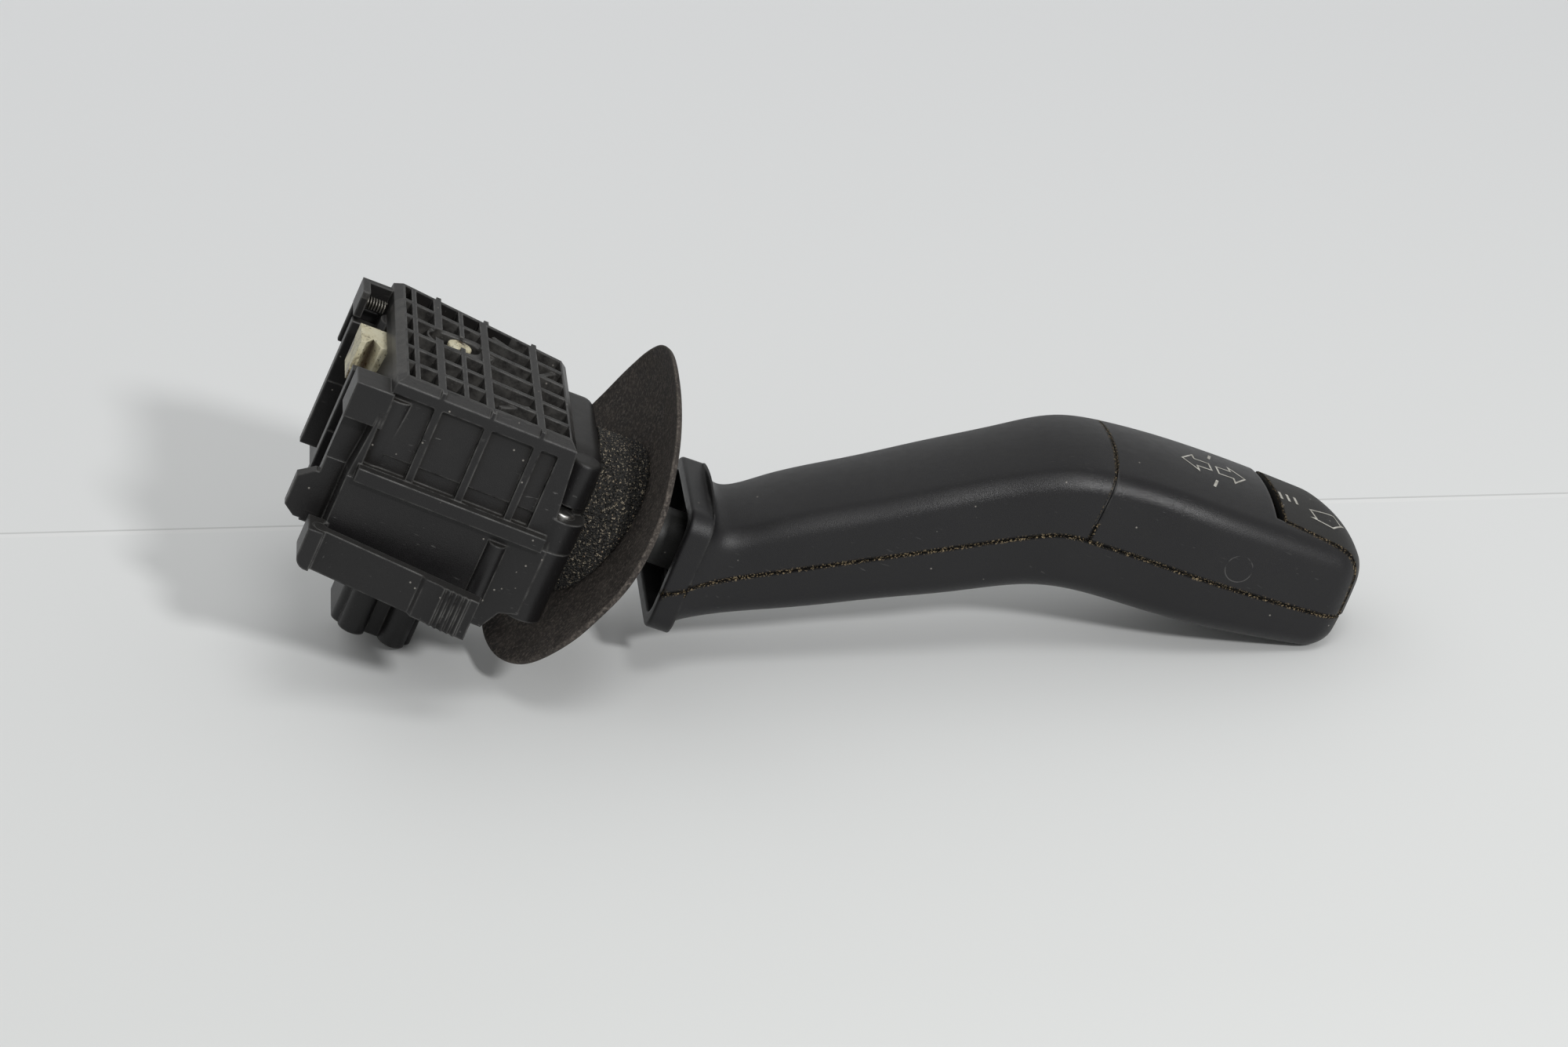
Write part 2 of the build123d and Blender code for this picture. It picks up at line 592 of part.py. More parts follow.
# ---------------------------------------- carrier: swings about Z between cover and tray
with BuildPart() as lever_carrier:
    with BuildSketch(Plane.XY.offset(-carrier_half_height)):
        with Locations(((carrier_back + carrier_front) / 2, 0)):
            RectangleRounded(carrier_front - carrier_back, 2 * carrier_half_width, 1.5)
    extrude(amount=2 * carrier_half_height)
    with BuildSketch(Plane.YZ.offset(carrier_back + carrier_wall)):
        Rectangle(2 * (root_half_width + part_gap), 2 * (carrier_half_height - carrier_wall + 0.5))
    extrude(amount=carrier_front - carrier_back, mode=Mode.SUBTRACT)
    with BuildSketch(Plane.XY.offset(-carrier_half_height - trunnion_length)):
        Circle(trunnion_radius)
    extrude(amount=trunnion_length + carrier_wall - 0.6)
    with BuildSketch(Plane.XY.offset(carrier_half_height - carrier_wall + 0.6)):
        Circle(trunnion_radius)
    extrude(amount=trunnion_length + carrier_wall - 0.6)
    with BuildSketch(Plane.YZ.offset(carrier_back - plunger_boss_length)):
        Circle(plunger_radius + 1.6)
    extrude(amount=plunger_boss_length)
    with BuildSketch(Plane.YZ.offset(carrier_back - plunger_boss_length)):
        Circle(plunger_radius + plunger_play)
    extrude(amount=plunger_boss_length + carrier_wall - 1.0, mode=Mode.SUBTRACT)
    with Locations(Plane.XZ.offset(carrier_half_width)):
        Hole(lever_pin_radius)
lever_carrier.part.label = "lever_carrier"

with BuildPart() as lever_pin:
    with BuildSketch(Plane.XZ):
        Circle(lever_pin_radius)
    extrude(amount=carrier_half_width, both=True)
lever_pin.part.label = "lever_pin"


def plunger(mouth, length, stand_out):
    """Round-nosed plunger pointing to -X; mouth is the x of the bore's open end."""
    tip_x = mouth - stand_out
    with BuildPart() as body:
        with BuildSketch(Plane.XZ):
            with BuildLine():
                Polyline((tip_x + plunger_radius, 0), (tip_x + length, 0), (tip_x + length, plunger_radius),
                         (tip_x + plunger_radius, plunger_radius))
                ThreePointArc((tip_x + plunger_radius, plunger_radius),
                              (tip_x + plunger_radius * (1 - cos(radians(45))), plunger_radius * sin(radians(45))),
                              (tip_x, 0))
                Line((tip_x, 0), (tip_x + plunger_radius, 0))
            make_face()
        revolve(axis=Axis.X)
    return body


def spring_sleeve(start, length, radius, coils, axis_y=0.0, axis_z=0.0):
    """Closed envelope of a coil spring along X, waisted between its coils."""
    pitch = length / coils
    with BuildPart() as body:
        with BuildSketch(Plane.XZ):
            with BuildLine():
                points = [(start, radius - 2 * spring_wall)]
                for coil in range(coils):
                    points += [(start + coil * pitch, radius - spring_wall),
                               (start + (coil + 0.5) * pitch, radius)]
                points += [(start + length, radius - spring_wall), (start + length, radius - 2 * spring_wall)]
                Polyline(*points, close=True)
            make_face()
        revolve(axis=Axis.X)
    if axis_y or axis_z:
        body.part.locate(Location((0, axis_y, axis_z)))
    return body


turn_mouth = carrier_back - plunger_boss_length
turn_bore_end = carrier_back + carrier_wall - 1.0
turn_detent_plunger = plunger(turn_mouth, turn_plunger_length, plunger_tip)
turn_detent_plunger.part.label = "turn_detent_plunger"
turn_spring_start = turn_mouth - plunger_tip + turn_plunger_length
turn_detent_spring = spring_sleeve(turn_spring_start, turn_bore_end - turn_spring_start, plunger_radius - 0.1, 4)
turn_detent_spring.part.label = "turn_detent_spring"

# detent cam: a concave track with three notches, clipped against the rear wall
track_radius = -(turn_mouth - plunger_tip) + track_gap
cam_back = case_back + wall + (cam_half_height - parting) * tan(radians(side_draft))
with BuildPart() as detent_cam:
    with BuildSketch(Plane.XY.offset(-cam_half_height)):
        with Locations(((cam_back - track_radius + cam_rise) / 2, 0)):
            Rectangle(-cam_back - track_radius + cam_rise, 2 * cam_half_width)
        Circle(track_radius, mode=Mode.SUBTRACT)
        for turn in (-swing_limit, 0, swing_limit):
            with Locations((-(track_radius) * cos(radians(turn)), track_radius * sin(radians(turn)))):
                Circle(notch_depth, mode=Mode.SUBTRACT)
    extrude(amount=2 * cam_half_height)
detent_cam.part.label = "detent_cam"

with BuildPart() as contact_shoe:
    with BuildSketch(Plane.XY.offset(-carrier_half_height - shoe_thick)):
        with Locations((shoe_x, 0)):
            RectangleRounded(shoe_length, 2 * shoe_half_width, 1.0)
        Circle(bearing_boss_radius + part_gap, mode=Mode.SUBTRACT)
    extrude(amount=shoe_thick)
contact_shoe.part.label = "contact_shoe"

with BuildPart() as wiper_springs:
    for radius in track_radii:
        with BuildSketch(Plane.XZ):
            with BuildLine():
                low = board_top + contact_thick + wiper_gap
                high = -carrier_half_height - shoe_thick
                Polyline((-radius - 1.6, high), (-radius + 1.6, high), (-radius + 0.6, low), (-radius - 0.6, low),
                         close=True)
            make_face()
        extrude(amount=wiper_half, both=True)
wiper_springs.part.label = "wiper_springs"

# ---------------------------------------- lever: root, neck and the cranked tongue
elbow = (elbow_x, elbow_z)


def along(start, angle, distance):
    """Point reached from start, a distance away at an angle in the XZ plane."""
    return (start[0] + distance * cos(radians(angle)), start[1] + distance * sin(radians(angle)))


def beside(point, angle, offset):
    """Point moved square to an angle in the XZ plane, up for a positive offset."""
    return (point[0] - offset * sin(radians(angle)), point[1] + offset * cos(radians(angle)))


with BuildPart() as lever_arm:
    with BuildSketch(Plane.XY.offset(-root_half_height)):
        with Locations(((root_back + root_front) / 2, 0)):
            RectangleRounded(root_front - root_back, 2 * root_half_width, 1.0)
    extrude(amount=2 * root_half_height)
    with BuildSketch(Plane.YZ):
        Circle(neck_radius)
    extrude(amount=neck_end)
    tongue_end = along(elbow, inner_angle, tongue_length)
    with BuildSketch(Plane.XZ):
        with BuildLine():
            Polyline((neck_end - 4.0, -tongue_half_thick), beside(elbow, inner_angle, -tongue_half_thick),
                     beside(tongue_end, inner_angle, -tongue_half_thick),
                     beside(tongue_end, inner_angle, tongue_half_thick),
                     beside(elbow, inner_angle, tongue_half_thick), (neck_end - 4.0, tongue_half_thick), close=True)
        make_face()
    extrude(amount=tongue_half_width, both=True)
    with BuildSketch(Plane.YZ.offset(root_front)):
        Circle(bore_radius)
    extrude(amount=neck_end - root_front, mode=Mode.SUBTRACT)
    with BuildSketch(Plane.XZ):
        with BuildLine():
            Polyline((neck_end - 4.0, -bore_radius / 2), beside(elbow, inner_angle, -bore_radius / 2),
                     beside(along(tongue_end, inner_angle, 2.0), inner_angle, -bore_radius / 2),
                     beside(along(tongue_end, inner_angle, 2.0), inner_angle, tongue_half_thick + 2.0),
                     beside(elbow, inner_angle, tongue_half_thick + 2.0), (neck_end, neck_radius + 1.0),
                     (neck_end - 4.0, bore_radius / 2), close=True)
        make_face()
    extrude(amount=bore_radius / 2, both=True, mode=Mode.SUBTRACT)
    with Locations(Plane.XZ.offset(root_half_width)):
        Hole(lever_pin_radius + running_gap)
    with BuildSketch(Plane.YZ.offset(root_back)):
        Circle(plunger_radius + plunger_play)
    extrude(amount=beam_bore_depth, mode=Mode.SUBTRACT)
lever_arm.part.label = "lever_arm"

beam_detent_plunger = plunger(root_back, beam_plunger_length, beam_tip)
beam_detent_plunger.part.label = "beam_detent_plunger"
beam_spring_start = root_back - beam_tip + beam_plunger_length
beam_detent_spring = spring_sleeve(beam_spring_start, root_back + beam_bore_depth - beam_spring_start,
                                   plunger_radius - 0.1, 3)
beam_detent_spring.part.label = "beam_detent_spring"

# ---------------------------------------- grip: one hollow form, cut into its shells
crank = along(elbow, inner_angle, inner_run)
tip = along(crank, outer_angle, outer_run)


def close_down(distance):
    """Share of the full section left at a distance from the tip."""
    reach = max(0.0, 1 - distance / tip_round)
    return (1 - reach ** tip_power) ** (1 / tip_power)


def grip_stations():
    """Centre, slope, roll, width and thickness of every section from the collar to the tip."""
    yield (along((collar_x, 0.0), collar_tilt, collar_thick - 0.4), collar_tilt, 0.0,
           collar_width - 2.0, collar_height - 2.0)
    yield (along((collar_x, 0.0), collar_tilt, collar_thick + 2.6), collar_tilt + 6.0, 0.0,
           neck_width + 0.6, neck_thick + 1.0)
    for share, ease, growth in ((0.07, 3.0, 0.0), (0.36, 0.0, 0.30), (0.60, 0.0, 0.58), (0.85, 3.5, 0.82)):
        yield (along(elbow, inner_angle, share * inner_run), inner_angle - ease, 0.2 * outer_roll * (growth > 0.7),
               neck_width + growth * 0.45 * (grip_width - neck_width),
               neck_thick + growth * (grip_thick - 0.6 - neck_thick))
    yield (beside(crank, (inner_angle + outer_angle) / 2, -0.9), (inner_angle + outer_angle) / 2, 0.5 * outer_roll,
           neck_width + 0.62 * (grip_width - neck_width), grip_thick)
    for share, ease, spread, depth in ((0.15, 2.5, 0.93, 1.02), (0.41, 0.0, 1.0, 1.0), (0.66, 0.0, 0.99, 0.93)):
        yield (along(crank, outer_angle, share * outer_run), outer_angle + ease, outer_roll,
               spread * grip_width, depth * grip_thick)
    for distance in tip_stations:
        share = close_down(distance)
        yield (along(tip, outer_angle, -distance), outer_angle, outer_roll,
               0.95 * share * grip_width, 0.87 * share * grip_thick)


def grip_section(point, slope, roll, width, thickness, inset):
    """Rounded section with crowned broad faces and full sides, drawn inset from the outer skin."""
    across = Plane(origin=(point[0], 0, point[1]), x_dir=(0, 1, 0),
                   z_dir=(cos(radians(slope)), 0, sin(radians(slope)))).rotated((0, 0, roll))
    half, high = width / 2 - inset, thickness / 2 - inset
    fullness = 0.02 * width
    with BuildSketch(across) as section:
        with BuildLine():
            ThreePointArc((-half, high), (0, high + crown), (half, high))
            ThreePointArc((half, high), (half + fullness, 0), (half, -high))
            ThreePointArc((half, -high), (0, -high - crown / 2), (-half, -high))
            ThreePointArc((-half, -high), (-half - fullness, 0), (-half, high))
        make_face()
        upward = Axis(across.origin, across.y_dir)
        fillet(section.vertices().sort_by(upward)[2:], radius=min(upper_round - inset / 2, 0.8 * high))
        fillet(section.vertices().sort_by(upward)[:2], radius=min(lower_round - inset / 2, 0.9 * high))
    return section.sketch


collar_plane = Plane(origin=(collar_x, 0, -collar_drop), x_dir=(0, 1, 0),
                     z_dir=(cos(radians(collar_tilt)), 0, sin(radians(collar_tilt))))

with BuildPart() as grip_form:
    loft([grip_section(*station, 0.0) for station in grip_stations()])
    with BuildSketch(collar_plane):
        RectangleRounded(collar_width, collar_height, collar_radius)
    extrude(amount=collar_thick)
    fillet(grip_form.faces().sort_by(Axis.X)[0].edges(), radius=0.6)

with BuildPart() as grip_hollow:
    loft([grip_section(*station, grip_wall) for station in list(grip_stations())[:-2]])
    with BuildSketch(collar_plane):
        RectangleRounded(collar_width - 2 * collar_rim, collar_height - 2 * collar_rim, collar_radius - 1.0)
    extrude(amount=collar_thick + 0.2)

# webs inside the shells: two saddles round the tongue and a shelf under the switch board
with BuildPart() as grip_webs:
    with BuildSketch(Plane.XZ):
        for distance in saddle_stations:
            Polygon(*[beside(along(elbow, inner_angle, distance + side * saddle_thick / 2), inner_angle, height)
                      for side, height in ((-1, -grip_thick), (1, -grip_thick), (1, grip_thick), (-1, grip_thick))],
                    align=None)
        Polygon(*[beside(along(tip, outer_angle, -distance), outer_angle, height)
                  for distance, height in ((switch_front + switch_length, board_height),
                                           (switch_front + switch_length, -grip_thick),
                                           (switch_front + 1.0, -grip_thick), (switch_front + 1.0, board_height))],
                align=None)
    extrude(amount=grip_width, both=True)
    add(grip_hollow.part, mode=Mode.INTERSECT)
    with BuildSketch(Plane.XZ):
        Polygon(beside(elbow, inner_angle, -tongue_half_thick), beside(tongue_end, inner_angle, -tongue_half_thick),
                beside(tongue_end, inner_angle, tongue_half_thick), beside(elbow, inner_angle, tongue_half_thick),
                align=None)
    extrude(amount=tongue_half_width, both=True, mode=Mode.SUBTRACT)

grip_skin = grip_form.part - grip_hollow.part + grip_webs.part

# the seam between the lower and the upper shells, as a line in the XZ plane
seam_start = beside(along(elbow, inner_angle, -seam_lead), inner_angle, 0.1)
seam_crank = (crank[0] - 1.0, crank[1] - seam_drop + 1.7)
seam_tip = beside(along(tip, outer_angle, 6.0), outer_angle, -seam_drop)


def seam_region(shift, above):
    """Area above or below the seam, moved up or down by shift."""
    points = [(x, z + shift) for x, z in (seam_start, seam_crank, seam_tip)]
    far = 60.0 if above else -40.0
    with BuildSketch(Plane.XZ) as region:
        with BuildLine():
            line = FilletPolyline(*points, radius=seam_round)
            Polyline(line @ 1, (points[2][0], far), (points[0][0], far), line @ 0)
        make_face()
    return region.sketch


def plan_prism(low_x, high_x, bulge_x):
    """Block over the plan area between two limits, its left edge bowed out by bulge_x."""
    half = grip_width
    with BuildPart() as block:
        with BuildSketch(Plane.XY.offset(-20)):
            with BuildLine():
                ThreePointArc((low_x, -half), (low_x + bulge_x, 0), (low_x, half))
                Polyline((low_x, half), (high_x, half), (high_x, -half), (low_x, -half))
            make_face()
        extrude(amount=100)
    return block.part


with BuildPart() as tip_cut:
    with BuildSketch(Plane.YZ.offset(tip[0] - button_proud)):
        Rectangle(2 * grip_width, 4 * grip_width)
    extrude(amount=grip_width)

with BuildPart() as grip_lower_shell:
    add(grip_skin)
    add(tip_cut.part, mode=Mode.SUBTRACT)
    extrude(seam_region(-seam_gap / 2, False), amount=grip_width, both=True, mode=Mode.INTERSECT)
grip_lower_shell.part.label = "grip_lower_shell"

split_arc = plan_prism(split_x, tip[0] + 10, split_bow)
split_arc_outer = plan_prism(split_x + seam_gap, tip[0] + 10, split_bow)
with BuildPart() as grip_upper_inner_shell:
    add(grip_skin)
    extrude(seam_region(seam_gap / 2, True), amount=grip_width, both=True, mode=Mode.INTERSECT)
    add(split_arc, mode=Mode.SUBTRACT)
grip_upper_inner_shell.part.label = "grip_upper_inner_shell"

button_start = along(tip, outer_angle, -button_length)


def button_region(side_gap, start_gap):
    """Plan block of the button between its two rails, grown by the gaps."""
    near_start, near_end = -grip_width / 2 + button_near_rail, -grip_width / 2 + 2.0
    far_start, far_end = grip_width / 2 - button_far_rail, grip_width / 2 - 1.0
    with BuildPart() as block:
        with BuildSketch(Plane.XY.offset(-20)):
            Polygon((button_start[0] - start_gap, near_start - side_gap), (tip[0] + 4, near_end - side_gap),
                    (tip[0] + 4, far_end + side_gap), (button_start[0] - start_gap, far_start + side_gap),
                    align=None)
        extrude(amount=100)
    return block.part


with BuildPart() as grip_upper_outer_shell:
    add(grip_skin)
    add(tip_cut.part, mode=Mode.SUBTRACT)
    extrude(seam_region(seam_gap / 2, True), amount=grip_width, both=True, mode=Mode.INTERSECT)
    add(split_arc_outer, mode=Mode.INTERSECT)
    add(button_region(button_side_gap, button_gap), mode=Mode.SUBTRACT)
grip_upper_outer_shell.part.label = "grip_upper_outer_shell"

def outer_plane(distance, height):
    """Plane along the outer grip: x towards the tip, y to the far side, origin back from the tip."""
    origin = beside(along(tip, outer_angle, -distance), outer_angle, height)
    return Plane(origin=(origin[0], 0, origin[1]),
                 x_dir=(cos(radians(outer_angle)), 0, sin(radians(outer_angle))),
                 z_dir=(-sin(radians(outer_angle)), 0, cos(radians(outer_angle))))


def facing_base(distance, height):
    """Plane square to the outer grip, facing back to the switch case."""
    along_grip = outer_plane(distance, height)
    return Plane(origin=along_grip.origin, x_dir=(0, 1, 0), z_dir=-along_grip.x_dir)



with BuildPart() as end_button:
    add(grip_skin)
    extrude(seam_region(seam_gap, True), amount=grip_width, both=True, mode=Mode.INTERSECT)
    add(button_region(0.0, 0.0), mode=Mode.INTERSECT)
    with BuildSketch(facing_base(stem_root, stem_height)):
        Circle(stem_radius)
    extrude(amount=switch_front - button_travel - part_gap - stem_root)
end_button.part.label = "end_button"

with BuildPart() as switch_board:
    with BuildSketch(outer_plane(switch_front + switch_length / 2 + 1.0, board_height)):
        RectangleRounded(switch_length + 6.0, 12.0, 1.0)
    extrude(amount=switch_board_thick)
switch_board.part.label = "switch_board"

with BuildPart() as button_switch:
    with BuildSketch(outer_plane(switch_front + switch_length / 2, board_height + switch_board_thick)):
        Rectangle(switch_length, 6.2)
    extrude(amount=switch_height)
button_switch.part.label = "button_switch"

spring_plane = facing_base(stem_root + 1.2, stem_height)
with BuildPart() as button_spring:
    with BuildSketch(spring_plane):
        Circle(stem_radius + 0.9)
        Circle(stem_radius + 0.25, mode=Mode.SUBTRACT)
    extrude(amount=switch_front - stem_root - 1.2)
button_spring.part.label = "button_spring"

# leads from the switch board back along the tongue into the neck's bore
with BuildPart() as switch_lead:
    lead_rest = outer_plane(switch_front + switch_length + 3.0, board_height + switch_board_thick + lead_radius)
    lead_points = (
        (root_front + 6.0, 0), (neck_end - 5.0, 0), along(elbow, inner_angle, 1.0),
        along(elbow, inner_angle, inner_run - 4.0), (lead_rest.origin.X, lead_rest.origin.Z))
    with BuildLine(Plane.XZ):
        FilletPolyline(*lead_points, radius=lead_bend)
    with BuildSketch(Plane.YZ.offset(root_front + 6.0)):
        Circle(lead_radius)
    sweep()
switch_lead.part.label = "switch_lead"

# ---------------------------------------- seal: dished skirt and the foam ring behind it
skirt_plane = Plane(Location((seal_x, seal_y, seal_z), (0, seal_tilt, seal_yaw)))
skirt_axis = Axis(skirt_plane.origin, skirt_plane.x_dir)
dish_middle = (0.75 * seal_bulge, 0.5 * seal_radius)
with BuildPart() as seal_skirt:
    with BuildSketch(skirt_plane):
        with BuildLine():
            outer_face = ThreePointArc((0, seal_radius), dish_middle, (seal_bulge, 0))
            inner_face = ThreePointArc((-seal_thick, seal_radius),
                                       (dish_middle[0] - seal_thick, dish_middle[1]),
                                       (seal_bulge - seal_thick, 0))
            Line(outer_face @ 0, inner_face @ 0)
            Line(outer_face @ 1, inner_face @ 1)
        make_face()
    revolve(axis=skirt_axis)
    with BuildSketch(Plane.YZ.offset(seal_x)):
        Circle(seal_hole)
    extrude(amount=seal_hole, both=True, mode=Mode.SUBTRACT)
seal_skirt.part.label = "seal_skirt"

with BuildPart() as foam_ring:
    with BuildSketch(Plane.YZ.offset(case_front + nose_length)):
        with Locations((0, foam_z)):
            Circle(foam_radius)
        Circle(seal_hole, mode=Mode.SUBTRACT)
    extrude(amount=foam_length)
    with BuildSketch(skirt_plane):
        with BuildLine():
            back = -seal_thick - glue_gap
            dish = ThreePointArc((back, seal_radius), (dish_middle[0] + back, dish_middle[1]),
                                 (seal_bulge + back, 0))
            Polyline(dish @ 0, (foam_length, seal_radius), (foam_length, 0), dish @ 1)
        make_face()
    revolve(axis=skirt_axis, mode=Mode.SUBTRACT)
foam_ring.part.label = "foam_ring"

# ---------------------------------------- cancelling pawl on its sliding pin
with BuildPart() as pawl_pin:
    with BuildSketch(Plane.XY.offset(pawl_bottom)):
        with Locations((pawl_pin_x, pawl_pin_y)):
            Circle(pawl_pin_radius)
    extrude(amount=cover_top - pin_sunk - pawl_bottom)
    fillet(pawl_pin.edges().filter_by(GeomType.CIRCLE).sort_by(Axis.Z)[-1], radius=0.3)
pawl_pin.part.label = "pawl_pin"

nose_x = pawl_pin_x - pawl_nose
nose_near = pawl_pin_y - pawl_width / 2
notch_x = nose_x + pawl_notch_start
nose_outline = ((nose_x, nose_near + pawl_width), (nose_x, nose_near), (notch_x, nose_near),
                (notch_x + pawl_notch / 2, nose_near + pawl_notch_depth), (notch_x + pawl_notch, nose_near))
with BuildPart() as cancel_pawl:
    with BuildSketch(Plane.XY.offset(pawl_bottom)):
        with BuildLine():
            Polyline((pawl_pin_x, pawl_pin_y + pawl_eye), *nose_outline, (pawl_pin_x, pawl_pin_y - pawl_eye),
                     close=True)
        make_face()
        with Locations((pawl_pin_x, pawl_pin_y)):
            Circle(pawl_eye)
            Circle(pawl_pin_radius + running_gap, mode=Mode.SUBTRACT)
    extrude(amount=pawl_thick)
    with BuildSketch(Plane.XY.offset(nose_bottom)):
        with BuildLine():
            Polyline((nose_x + nose_block, nose_near + pawl_width - nose_ease), *nose_outline,
                     (nose_x + nose_block, nose_near + nose_ease), close=True)
        make_face()
    extrude(amount=pawl_bottom - nose_bottom)
cancel_pawl.part.label = "cancel_pawl"

spring_seat = case_back + (hook_spring_z - hook_spring_radius - parting) * tan(radians(side_draft)) - running_gap
pawl_spring = spring_sleeve(hook_x + hook_thick, spring_seat - hook_x - hook_thick, hook_spring_radius, 7,
                            hook_spring_y, hook_spring_z)
pawl_spring.part.label = "pawl_spring"

# ---------------------------------------- release latch
latch_frame = Plane(origin=(latch_root_x, latch_root_y, latch_z - latch_height / 2),
                    x_dir=(cos(radians(latch_spread)), -sin(radians(latch_spread)), 0), z_dir=(0, 0, 1))
with BuildPart() as release_latch:
    step_start = 0.64 * latch_length
    with BuildSketch(latch_frame):
        Circle(knuckle_radius)
        with BuildLine():
            half = latch_thick / 2
            pad = -half - latch_step
            outline = [(0, half), (latch_length, half), (latch_length, pad),
                       (latch_length - serration_end, pad)]
            for tooth in range(serration_count):
                end = latch_length - serration_end - tooth * serration_pitch
                outline += [(end - 0.3 * serration_pitch, pad - serration_depth),
                            (end - serration_pitch, pad)]
            outline += [(step_start + latch_step, pad), (step_start, -half), (0, -half)]
            Polyline(*outline, close=True)
        make_face()
    extrude(amount=latch_height)
release_latch.part.label = "release_latch"

# ---------------------------------------- lie the switch down and write every piece
pieces = (
    case_cover, case_tray, case_screws, return_post, contact_board, fixed_contacts, terminal_pins, detent_cam,
    seal_skirt, foam_ring, release_latch, pawl_pin, cancel_pawl, pawl_spring,
    lever_carrier, lever_pin, turn_detent_plunger, turn_detent_spring, contact_shoe, wiper_springs,
    lever_arm, beam_detent_plunger, beam_detent_spring, switch_lead, grip_lower_shell, grip_upper_inner_shell,
    grip_upper_outer_shell, switch_board, button_switch, button_spring, end_button,
)
tilt = Location((0, 0, 0), (0, rest_tilt, 0))
lying = Compound(children=[piece.part.moved(tilt) for piece in pieces]).bounding_box()
rest = Location((-lying.center().X, -lying.center().Y, -lying.min.Z)) * tilt

for piece in pieces:
    export_step(piece.part.moved(rest), f"parts/{piece.part.label}.step")
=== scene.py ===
import json
import math

import bmesh
import bpy
from mathutils import Matrix, Vector, noise
from mathutils.bvhtree import BVHTree


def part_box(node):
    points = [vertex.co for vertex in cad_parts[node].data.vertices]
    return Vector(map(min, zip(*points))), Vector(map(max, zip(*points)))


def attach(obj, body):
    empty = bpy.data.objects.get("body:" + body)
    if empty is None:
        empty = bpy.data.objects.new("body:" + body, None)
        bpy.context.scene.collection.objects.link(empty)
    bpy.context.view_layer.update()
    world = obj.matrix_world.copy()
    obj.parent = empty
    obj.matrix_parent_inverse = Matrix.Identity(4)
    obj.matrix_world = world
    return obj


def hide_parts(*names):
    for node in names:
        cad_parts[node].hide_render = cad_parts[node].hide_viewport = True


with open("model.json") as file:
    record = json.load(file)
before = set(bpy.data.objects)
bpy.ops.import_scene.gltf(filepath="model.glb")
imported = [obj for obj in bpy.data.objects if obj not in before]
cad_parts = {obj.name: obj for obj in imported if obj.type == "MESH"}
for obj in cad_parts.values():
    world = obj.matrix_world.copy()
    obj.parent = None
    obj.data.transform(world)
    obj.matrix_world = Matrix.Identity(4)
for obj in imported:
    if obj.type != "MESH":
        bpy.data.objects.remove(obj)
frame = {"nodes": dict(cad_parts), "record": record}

scene = bpy.context.scene
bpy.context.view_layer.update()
mm = 0.001
smallStep = 1e-6

# the switch's own frame: its origin where the two axes cross, X along the lever, leaning as it lies
pinLow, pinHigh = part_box("lever_pin")
pivot = (Vector(pinLow) + Vector(pinHigh)) / 2
lean = math.radians(24.5)
toRow = Matrix.Translation(pivot) @ Matrix.Rotation(lean, 4, "Y") @ Matrix.Scale(mm, 4)
fromRow = toRow.inverted()
bodyOf = {node: name for name, nodes in frame["record"]["behaviour"]["bodies"].items() for node in nodes}
slotOf = {entry["node"]: entry["material_slot"] for entry in frame["record"]["subparts"]}
print("frame loaded, pivot", [round(v / mm, 2) for v in pivot])


# node trees
def addNode(tree, kind, **values):
    node = tree.nodes.new(kind)
    for key, value in values.items():
        if hasattr(node, key):
            setattr(node, key, value)
        else:
            node.inputs[key.replace("_", " ")].default_value = value
    return node


def plug(tree, source, target):
    tree.links.new(source, target)


def startGroup(name, inputs, outputs):
    group = bpy.data.node_groups.new(name, "ShaderNodeTree")
    for label, kind, value in inputs:
        socket = group.interface.new_socket(name=label, in_out="INPUT", socket_type=kind)
        if value is not None:
            socket.default_value = value
    for label, kind in outputs:
        group.interface.new_socket(name=label, in_out="OUTPUT", socket_type=kind)
    return group, group.nodes.new("NodeGroupInput"), group.nodes.new("NodeGroupOutput")


def mathNode(tree, operation, first, second=None, third=None, clamp=False):
    node = tree.nodes.new("ShaderNodeMath")
    node.operation = operation
    node.use_clamp = clamp
    for place, value in enumerate((first, second, third)):
        if value is None:
            continue
        if isinstance(value, (int, float)):
            node.inputs[place].default_value = value
        else:
            tree.links.new(value, node.inputs[place])
    return node.outputs[0]


def times(tree, first, second, clamp=False):
    return mathNode(tree, "MULTIPLY", first, second, clamp=clamp)


def separate(tree, vector):
    node = tree.nodes.new("ShaderNodeSeparateXYZ")
    tree.links.new(vector, node.inputs[0])
    return node.outputs


def distanceTo(tree, vector, spot):
    node = tree.nodes.new("ShaderNodeVectorMath")
    node.operation = "DISTANCE"
    tree.links.new(vector, node.inputs[0])
    node.inputs[1].default_value = spot
    return node.outputs["Value"]


def spread(tree, value, low, high, outLow=0.0, outHigh=1.0):
    node = tree.nodes.new("ShaderNodeMapRange")
    node.inputs["From Min"].default_value = low
    node.inputs["From Max"].default_value = high
    node.inputs["To Min"].default_value = outLow
    node.inputs["To Max"].default_value = outHigh
    tree.links.new(value, node.inputs["Value"])
    return node.outputs["Result"]


def noiseOf(tree, vector, scale, detail=3.0, roughness=0.55):
    node = addNode(tree, "ShaderNodeTexNoise", Scale=scale, Detail=detail, Roughness=roughness)
    plug(tree, vector, node.inputs["Vector"])
    return node.outputs["Fac"]


def blendColor(tree, factor, first, second):
    node = tree.nodes.new("ShaderNodeMix")
    node.data_type = "RGBA"
    if isinstance(factor, float):
        node.inputs["Factor"].default_value = factor
    else:
        plug(tree, factor, node.inputs["Factor"])
    for socket, value in ((node.inputs[6], first), (node.inputs[7], second)):
        if isinstance(value, tuple):
            socket.default_value = (*value, 1.0)
        else:
            plug(tree, value, socket)
    return node.outputs[2]


